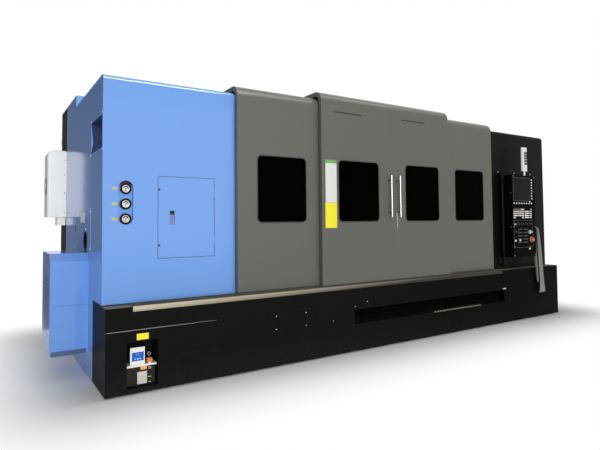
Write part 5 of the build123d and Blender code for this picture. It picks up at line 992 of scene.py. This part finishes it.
# Hood fittings: windows of dark tinted sheet sit in black rubber mouldings, polished grips stand on two
# posts each, blank plates are stuck beside the left door's window, and slits are backed with rubber.
WINDOWS = {
    "left_cover_window": "left_cover",
    "left_door_window": "left_door",
    "right_door_window": "right_door",
    "right_cover_window": "machine",
}
WINDOW_WIDE, WINDOW_HIGH, WINDOW_MIDDLE, WINDOW_CORNER, BELOW_WINDOW = 0.595, 0.69, 1.805, 0.05, 0.06
GASKET = [
    (-0.004, -0.001), (-0.004, 0.0022), (-0.001, 0.0042), (0.005, 0.0034), (0.0075, 0.0), (0.005, -0.001),
    (-0.004, -0.001),
]
tinted = clouded(
    "tinted_window", 3.0, 4.0, tint(34, 37, 38), tint(46, 49, 49), (0.06, 0.01), transmission=1.0, ior=1.05,
)
dress(tinted, *WINDOWS)
gasket = bead(WINDOW_WIDE, WINDOW_HIGH, WINDOW_CORNER, GASKET, 8)
for window, body in WINDOWS.items():
    low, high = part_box(window)
    hood = "right_cover" if body == "machine" else body
    middle = np.array([(low.x + high.x) / 2, 0.0, (low.z + high.z) / 2])
    front = on(hood, middle - np.array([0.0, 0.0, (high.z - low.z) / 2 + BELOW_WINDOW]), FRONTWARD)
    spot = np.array([middle[0], front[1], WINDOW_MIDDLE])
    fixed(window + "_gasket", gasket, spot, rubber, body)

chrome = bright("polished_grip", (150, 150, 147), roughness=0.18, stain=0.05, marks=0.08)
dress(chrome, "left_door_handle", "right_door_handle")
door_front = front_of("left_door", 2.36, 1.2)[1] - FRONT
plate_green = small("plate_green", (96, 170, 82), 0.42, 0.06, 0.1)
notice_white = small("notice_white", (214, 216, 212), 0.42, 0.06, 0.1, 0.05)
NOTICES = {
    "notice_green": (2.3665, 2.1275, 0.153, 0.035, plate_green),
    "notice_white": (2.3665, 1.8895, 0.153, 0.439, notice_white),
    "notice_yellow": (2.364, 1.5295, 0.158, 0.275, paper_yellow),
}
for name, (x, z, wide, high, finish) in NOTICES.items():
    fixed(name, plate(wide, high, 0.004), at(x, door_front, z), finish, "left_door")
SLITS = {"left_door": (2.615, 2.69), "right_door": (3.645, 2.704)}
SLIT_BEHIND = 0.0052
slit_back = plate(0.44, 0.056, 0.004, 0.002, 0.0005)
for body, (x, z) in SLITS.items():
    spot = at(x, door_front + SLIT_BEHIND, z)
    fixed(body + "_slit_back", slit_back, spot, rubber, body)


# Tail cover, right end, post and cabinet: folded sheet, powder coated black like the apron. Three screws
# hold the post's plate.
POST_SCREWS, POST_SCREW_HEIGHT = (5.51, 5.9, 6.31), 2.17
# This black is painted darker towards the right end as painted shade.
dress(powder_black, "tail_cover", "right_end_cover")
dress(powder_black, "electrical_cabinet", "cabinet_door_left", "cabinet_door_right")
post_black = coated(
    "post_black", (9, 9, 9), specular=0.05, roughness=0.42, clouds=0.2, runs=0.1, dust=0.06, rub=0.5,
    rubbed_colour=(80, 79, 76), grain_scale=330.0, grain_depth=0.00003,
)
dress(post_black, "pendant_post")
spots = [front_of("pendant_post", x, POST_SCREW_HEIGHT) for x in POST_SCREWS]
fixed("post_screws", screw_head(LARGE_SCREW), spots, zinc)


# Operator pendant: a sheet steel box on a swivel post, powder coated, with a glass screen in a moulded
# rim, rows of soft keys, a keypad, a framed panel of knobs and buttons, and screws at its seams.
def on_pendant(*places):
    """Spots on the pendant's front."""
    return [front_of("pendant_housing", x, z) for x, z in places]


def pendant_keys(name, places, width, height, finish):
    """Moulded keys: dished plates on the pendant's front, all of one colour."""
    key = plate(width, height, min(width, height) / 4, 0.005, 0.0015)
    fixed(name, key, on_pendant(*places), finish, "pendant")


pendant_black = coated(
    "pendant_black", (7, 7, 7), specular=0.012, roughness=0.36, clouds=0.12, runs=0.08, dust=0.08, rub=0.5,
    rubbed_colour=(110, 108, 104), grain_scale=600.0, grain_depth=0.00002,
)
dress(pendant_black, "pendant_housing")
screen_glass = clouded(
    "screen_glass", 14.0, 4.0, tint(7, 8, 9), tint(15, 16, 17), (0.18, 0.03), specular=0.06,
)
dress(screen_glass, "pendant_screen")
moulded_black = small(
    "moulded_black", (20, 20, 21), 0.42, 0.1, 0.3, 0.1, specular=0.25, grain_scale=900.0, grain_depth=0.00002,
)
SCREEN_GAP = 0.012
SCREEN_RIM = [(-0.004, 0.0), (-0.002, 0.004), (0.006, 0.005), (0.012, 0.002), (0.012, 0.0), (-0.004, 0.0)]
low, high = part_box("pendant_screen")
rim = bead(high.x - low.x + SCREEN_GAP, high.z - low.z + SCREEN_GAP, 0.008, SCREEN_RIM)
housing_front = on_pendant((5.8, 1.72))[0][1]
rim_spot = np.array([(low.x + high.x) / 2, housing_front, (low.z + high.z) / 2])
fixed("screen_rim", rim, rim_spot, moulded_black, "pendant")

key_white = small("key_white", (242, 242, 236), 0.4, 0.1, 0.1, 0.1)
key_pink = small("key_pink", (238, 222, 216), 0.4, 0.1, 0.1, 0.1)
key_dim = small("key_dim", (108, 108, 106), 0.42, 0.1, 0.2, 0.1)
mark_pale = small("mark_pale", (168, 168, 164), 0.42, 0.1, 0.2, 0.1)
SOFT_COLUMN = [(6.042, z) for z in np.linspace(2.058, 1.778, 8)]
SOFT_ROW = [(x, 1.706) for x in np.linspace(5.603, 6.028, 8)]
pendant_keys("soft_keys", SOFT_COLUMN + SOFT_ROW + [(5.99, 1.732)], 0.024, 0.018, key_white)
LETTERS = np.linspace(5.592, 5.826, 9)
CURSORS = np.linspace(5.87, 5.942, 4)
NUMBERS = np.linspace(5.986, 6.014, 2)
WHOLE = np.concatenate([LETTERS, CURSORS, NUMBERS])
ROWS = (
    (1.617, key_dim, LETTERS[:6]),
    (1.617, key_white, np.append(LETTERS[6:], NUMBERS[-1])),
    (1.585, key_white, WHOLE),
    (1.556, key_pink, WHOLE),
    (1.527, key_white, WHOLE),
    (1.498, key_white, np.concatenate([LETTERS[:2], LETTERS[-2:], CURSORS, NUMBERS])),
)
for number, (z, finish, across) in enumerate(ROWS):
    pendant_keys(f"keypad_row_{number + 1}", [(x, z) for x in across], 0.0195, 0.0185, finish)

PANEL_LEFT, PANEL_RIGHT, PANEL_LOW, PANEL_HIGH = 5.585, 6.05, 1.06, 1.455
line = bead(PANEL_RIGHT - PANEL_LEFT, PANEL_HIGH - PANEL_LOW, 0.006, band(0.0012, 0.001))
line_spot = on_pendant(((PANEL_LEFT + PANEL_RIGHT) / 2, (PANEL_LOW + PANEL_HIGH) / 2))[0]
fixed("panel_line", line, line_spot, key_dim, "pendant")
KNOBS = {(5.69, 1.4): 0.6, (5.785, 1.4): -0.2, (5.88, 1.4): -0.9, (5.975, 1.4): 0.3, (5.622, 1.289): 0.9}
SCALE_ANGLES = np.radians(np.linspace(-120, 120, 9))
knob = turned([
    (0, 0.022), (0.011, 0.022), (0.0125, 0.0205), (0.0135, 0.004), (0.0185, 0.003), (0.0185, 0), (0, 0),
], 22)
pointer = plate(0.003, 0.011, 0.001, 0.0012) + np.array([0.0, 0.004, 0.0215])
scale_mark = plate(0.0022, 0.006, 0.0005, 0.0008, 0.0003) + np.array([0.0, 0.026, 0.0])
knob_spots = on_pendant(*KNOBS)
fixed("panel_knobs", knob, knob_spots, moulded_black, "pendant")
scales = [lay(spun(pointer, turn), spot, FRONTWARD) for spot, turn in zip(knob_spots, KNOBS.values())]
scales += [lay(spun(scale_mark, turn), knob_spots, FRONTWARD) for turn in SCALE_ANGLES]
piece("knob_scales", scales, mark_pale, "pendant")

PANEL_KEY_ROWS = (1.324, 1.277, 1.23, 1.182, 1.135)
PANEL_KEY_COLUMNS = (5.692, 5.727, 5.762, 5.83, 5.865, 5.9)
PANEL_BUTTONS = ((5.62, 1.161), (5.726, 1.168))
panel_places = [(x, z) for z in PANEL_KEY_ROWS for x in PANEL_KEY_COLUMNS]
pendant_keys("panel_keys", panel_places, 0.026, 0.02, moulded_black)
key_mark = plate(0.016, 0.004, 0.001, 0.0006, 0.0002) + np.array([0.0, 0.0, 0.0048])
fixed("panel_key_marks", key_mark, on_pendant(*panel_places), mark_pale, "pendant")
pendant_keys("mode_block", [(5.615, 1.4)], 0.05, 0.024, mark_pale)
button = turned([
    (0, 0.011), (0.009, 0.0105), (0.012, 0.008), (0.0125, 0.004), (0.0165, 0.003), (0.0165, 0), (0, 0),
], 20)
fixed("lamp_buttons", button, on_pendant(*PANEL_BUTTONS), key_white, "pendant")
pale_yellow = small("tag_pale_yellow", (236, 238, 176), 0.42, 0.08, 0.1)
tag_spot = on_pendant((5.966, 1.035))[0]
fixed("pendant_tag", plate(0.036, 0.024, 0.002), tag_spot, pale_yellow, "pendant")
SMALL_SCREW = 0.006
PENDANT_SCREWS = [(x, z) for z in (2.103, 1.36, 0.945) for x in (5.592, 6.108)]
PENDANT_SCREWS += [(5.968, 1.072), (5.592, 1.072)]
SIDE_SCREW_Y, SIDE_SCREWS = -0.165, (1.86, 1.36)
side_spots = [left_of("pendant_housing", SIDE_SCREW_Y, z) for z in SIDE_SCREWS]
pendant_heads = [
    lay(screw_head(SMALL_SCREW), on_pendant(*PENDANT_SCREWS), FRONTWARD),
    lay(screw_head(SMALL_SCREW), side_spots, LEFTWARD),
]
piece("pendant_screws", pendant_heads, zinc, "pendant")

dress(small("stop_red", (222, 100, 50), 0.3, 0.06, 0.2), "e_stop")
dress(small("wheel_pale", (190, 192, 190), 0.3, 0.15, 0.3, metallic=0.5), "handwheel")
dress(small("lamp_white", (226, 228, 222), 0.35, 0.05, 0.1, 0.06), "signal_lamp")
low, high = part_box("e_stop")
stop_front = on_pendant((6.04, 1.17))[0][1]
stop_middle = np.array([(low.x + high.x) / 2, stop_front, (low.z + high.z) / 2])
# The collar's pale orange is a painted highlight of the stop button's lit side.
collar_highlight_pale = small("stop_collar", (244, 182, 132), 0.42, 0.08, 0.2)
collar = turned([
    (0.0312, 0), (0.038, 0), (0.038, 0.004), (0.0365, 0.006), (0.0318, 0.006), (0.0312, 0),
], 36)
fixed("stop_collar", collar, stop_middle, collar_highlight_pale, "pendant")
LENS_COUNT, LENS_LOW, LENS_HIGH, LENS_X, LENS_SHARE = 5, 2.275, 2.475, 5.904, 0.86
LENS_PROUD = np.array([0.0, 0.0005, 0.0])
lens_pitch = (LENS_HIGH - LENS_LOW) / LENS_COUNT
lens_smoke = small("lens_smoke", (78, 80, 78), 0.2, 0.2, 0.1, transmission=0.2)
lens = plate(0.064, lens_pitch * LENS_SHARE, 0.008, 0.006, 0.0025)
lens_heights = LENS_LOW + lens_pitch * (np.arange(LENS_COUNT) + 0.5)
lens_spots = [front_of("signal_lamp", LENS_X, z) - LENS_PROUD for z in lens_heights]
fixed("lamp_lenses", lens, lens_spots, lens_smoke, "pendant")


# Hanging strip: one length of grey woven cloth thrown over a steel peg on the pendant's right side. It is
# gathered at the peg, opens out towards its front end and swings a little away from the pendant.
PEG_RADIUS, PEG_LENGTH = 0.008, 0.062
PEG_Y, PEG_Z = -0.18, 1.312
peg_root = on("pendant_housing", at(0.0, PEG_Y, PEG_Z), RIGHTWARD)
peg = turned([
    (0.014, 0), (0.014, 0.003), (PEG_RADIUS, 0.005), (PEG_RADIUS, PEG_LENGTH), (0.0125, PEG_LENGTH + 0.001),
    (0.0125, PEG_LENGTH + 0.006), (0, PEG_LENGTH + 0.0075),
], 20)
fixed("strip_peg", peg, peg_root, zinc, "pendant", RIGHTWARD)

CLOTH_WIDTH, CLOTH_THICK, CLOTH_GAP, CLOTH_CLEAR = 0.16, 0.0012, 0.002, 0.004
FRONT_END, REAR_END = 0.372, 0.522
FRONT_FALL = ((1.32, 0.026, 0.034), (1.2, 0.045, 0.066), (0.855, 0.08, 0.09), (0.37, 0.125, 0.152))
REAR_FALL = ((1.32, 0.026, 0.034), (1.06, 0.028, 0.04), (0.74, 0.052, 0.048), (0.52, 0.084, 0.058))
FOLDS, DEEPEST_FOLD, HALVINGS = 3.0, 0.03, 30
ALONG, ACROSS, ROUND_PEG = 160, 64, 12
FOLD_DRIFT = ((0.9, 5.0, 0.0), (0.5, 11.0, 1.3))
RIPPLE_HEIGHT, RIPPLE_ALONG, RIPPLE_ACROSS = 0.0016, 23.0, 9.0


def fall(table, height):
    """Out from the pendant and width across at a height: the cubics through four measured places."""
    heights, *columns = np.array(table).T
    return [np.polyval(np.polyfit(heights, column, 3), height) for column in columns]


def fold_depth(width):
    """The half height of a sine of so many folds whose length across is the flat cloth's: found by
    halving, from the mean of the root of one plus the slope squared."""
    phase = np.linspace(0, 2 * np.pi, 65)[:-1]
    low, high = np.zeros_like(width), np.full_like(width, DEEPEST_FOLD)
    for _ in range(HALVINGS):
        depth = (low + high) / 2
        slope = 2 * np.pi * FOLDS * depth / width
        length = width * np.sqrt(1 + (slope[:, None] * np.cos(phase)) ** 2).mean(axis=1)
        short = length < CLOTH_WIDTH
        low, high = np.where(short, depth, low), np.where(short, high, depth)
    return low


def joined(front, rear):
    """Values along the front fall and the rear fall, with an even change between them over the peg."""
    share = np.linspace(0, 1, ROUND_PEG + 2)[1:-1]
    return np.concatenate([front, front[-1] + share * (rear[0] - front[-1]), rear])


front_height = np.linspace(FRONT_END, PEG_Z, ALONG // 2)
rear_height = np.linspace(PEG_Z, REAR_END, ALONG // 2)
front_out, front_width = fall(FRONT_FALL, front_height)
rear_out, rear_width = fall(REAR_FALL, rear_height)
height = joined(front_height, rear_height)
out_middle = joined(front_out, rear_out)
width = joined(front_width, rear_width)
over = np.linspace(np.pi, 0, ROUND_PEG + 2)[1:-1]
lean = np.concatenate([np.full(front_height.size, np.pi), over, np.zeros(rear_height.size)])
share = np.linspace(0, 1, ACROSS)[None, :]
along = np.linspace(0, 1, height.size)[:, None]
drift = sum(reach * np.sin(turns * along + start) for reach, turns, start in FOLD_DRIFT)
phase = 2 * np.pi * FOLDS * share + drift
ripple = RIPPLE_HEIGHT * np.sin(RIPPLE_ALONG * along + RIPPLE_ACROSS * share)
fold = fold_depth(width)[:, None] * (1 + np.sin(phase)) + ripple
away = PEG_RADIUS + CLOTH_GAP + np.maximum(fold, 0.0)
across = out_middle[:, None] + width[:, None] * (share - 0.5)
cloth = np.stack([
    peg_root[0] + np.maximum(across, CLOTH_CLEAR),
    FRONT + PEG_Y + away * np.cos(lean)[:, None],
    height[:, None] + away * np.sin(lean)[:, None],
], -1)

THREAD_SCALE, THREAD_RISE, THREAD_SHARE = 160.0, 0.0004, 0.3
SOIL_SCALE, SOIL_SHARE, SOIL_ROUGHNESS = 9.0, 0.7, (0.2, 0.68)
woven, tree, surface = shader("grey_cloth", specular=0.2)
place = place_in(tree)
weave = {"Vector": place, "Scale": THREAD_SCALE, "Distortion": 0.6, "Detail": 1.0}
warp, weft = (add_node(tree, "TexWave", weave, bands_direction=way).outputs[1] for way in "XZ")
threads = maths(tree, "MAXIMUM", warp, weft)
soil = noise(tree, place, SOIL_SCALE, 4.0)
tone = maths(tree, "MULTIPLY_ADD", threads, THREAD_SHARE, maths(tree, "MULTIPLY", soil, SOIL_SHARE))
tree.links.new(blend_colours(tree, tone, tint(96, 97, 93), tint(168, 169, 163)), surface["Base Color"])
tree.links.new(maths(tree, "MULTIPLY_ADD", soil, *SOIL_ROUGHNESS), surface["Roughness"])
tree.links.new(relief(tree, maths(tree, "MULTIPLY", threads, THREAD_RISE)), surface["Normal"])
strip = grid_object("hanging_cloth", [cloth])
strip.data.materials.append(woven)
thickness = strip.modifiers.new("thickness", "SOLIDIFY")
thickness.thickness = CLOTH_THICK
thickness.offset = 0.0
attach(strip, "pendant")
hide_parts("hanging_strip")


# Panel cooler: a bought unit in a white sheet case on the cabinet's side, with screws down its front edge
# and a wire guard over the fan on its end.
COOLER_SCREW_X, COOLER_SCREWS = -0.02, (2.25, 2.065, 1.846, 1.6)
case_white = coated(
    "case_white", (250, 248, 240), specular=0.35, roughness=0.34, clouds=0.03, runs=0.03, dust=0.1,
    dust_height=0.2, rub=0.3, edge=0.003, rubbed_colour=(244, 244, 240), grain_depth=0.000006,
)
screw_black = small("screw_black", (40, 40, 40), 0.4, 0.1, 0.6, metallic=0.6)
dress(case_white, "panel_cooler")
spots = [front_of("panel_cooler", COOLER_SCREW_X, z) for z in COOLER_SCREWS]
fixed("cooler_screws", screw_head(SMALL_SCREW), spots, screw_black)
FAN_Y, FAN_Z, FAN_RADIUS, WIRE = 2.36, 1.93, 0.095, 0.0028
RING_RISE, SPOKE_RISE, MOUTH_RISE = 0.006, 0.003, 0.0006
fan_face = left_of("panel_cooler", FAN_Y, FAN_Z)
round_wire = np.linspace(0, 2 * np.pi, 7)
turn, wire_turn = np.meshgrid(np.linspace(0, 2 * np.pi, 41), round_wire, indexing="ij")
ring_rise = RING_RISE + WIRE * np.sin(wire_turn)
guard = []
for radius in np.linspace(0.02, FAN_RADIUS, 6):
    reach = radius + WIRE * np.cos(wire_turn)
    guard.append(np.stack([reach * np.cos(turn), reach * np.sin(turn), ring_rise], -1))
ends, wire_turn = np.meshgrid(np.array([0.016, FAN_RADIUS + 0.006]), round_wire, indexing="ij")
spoke = np.stack([ends, WIRE * np.cos(wire_turn), SPOKE_RISE + WIRE * np.sin(wire_turn)], -1)
guard += [spun(spoke, angle) for angle in np.radians((45, 135, 225, 315))]
piece("fan_guard", [lay(wire, fan_face, LEFTWARD) for wire in guard], zinc)
fan_dish = turned([(0, MOUTH_RISE), (FAN_RADIUS + 0.002, MOUTH_RISE), (FAN_RADIUS + 0.004, 0.0)], 40)
# The fan mouth is a dark disc painted as the shade inside the opening.
fixed("fan_mouth", fan_dish, fan_face, vent_shade_dark, side=LEFTWARD)


# Cabinet furniture: each sheet door hangs on three turned steel hinge barrels on its pin's line. A moulded
# swing lever lies at its free edge and closes on a steel lock.
HINGE_HEIGHTS, LEVER_INSET, LOCK_LIFT = (0.35, 1.45, 2.5), 0.06, np.array([0.0, 0.0, 0.05])
barrel = turned([
    (0, 0), (0.006, 0), (0.0075, 0.002), (0.0075, 0.039), (0.0065, 0.0405), (0.0075, 0.042), (0.0075, 0.078),
    (0.006, 0.08), (0, 0.08),
], 14)
lever = plate(0.022, 0.132, 0.009, 0.011, 0.004)
lock_disc = turned([(0, 0.016), (0.007, 0.016), (0.009, 0.0145), (0.0095, 0.009), (0, 0.009)], 18)
pins = {joint["child"]: joint.get("pos_m") for joint in frame["record"]["behaviour"]["joints"]}
for body in ("cabinet_door_left", "cabinet_door_right"):
    barrels = [np.array([*pins[body][:2], z]) for z in HINGE_HEIGHTS]
    fixed(body + "_hinges", barrel, barrels, zinc, body, UPWARD)
    low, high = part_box(body)
    boss_x = high.x - LEVER_INSET if body.endswith("left") else low.x + LEVER_INSET
    boss = on(body, np.array([boss_x, 0.0, (low.z + high.z) / 2]), BACKWARD)
    fixed(body + "_lever", lever, boss, moulded_black, body, BACKWARD)
    fixed(body + "_lock", lock_disc, boss + LOCK_LIFT, zinc, body, BACKWARD)


# Rear access panels: raised sheets on the rear cover in a low and a high row. Zinc plated cap screws hold
# each in three columns, at its sides and down its middle.
PANELS_LEFT, PANELS_RIGHT, PANEL_MARGIN, PANEL_COUNT = 2.27, 6.707, 0.07, 4
PANEL_ROWS = ((0.16, 0.82, 3), (0.9, 2.7, 5))
SCREW_INSET = 0.03
panel_step = (PANELS_RIGHT - PANELS_LEFT) / PANEL_COUNT
spots = []
for low, high, count in PANEL_ROWS:
    heights = np.linspace(low + SCREW_INSET, high - SCREW_INSET, count)
    for number in range(PANEL_COUNT):
        left = PANELS_LEFT + number * panel_step + SCREW_INSET
        right = PANELS_LEFT + (number + 1) * panel_step - PANEL_MARGIN - SCREW_INSET
        columns = (left, (left + right) / 2, right)
        spots += [on("rear_cover", at(x, 0.0, z), BACKWARD) for x in columns for z in heights]
fixed("rear_screws", screw_head(LARGE_SCREW), spots, zinc, side=BACKWARD)


bpy.context.view_layer.update()
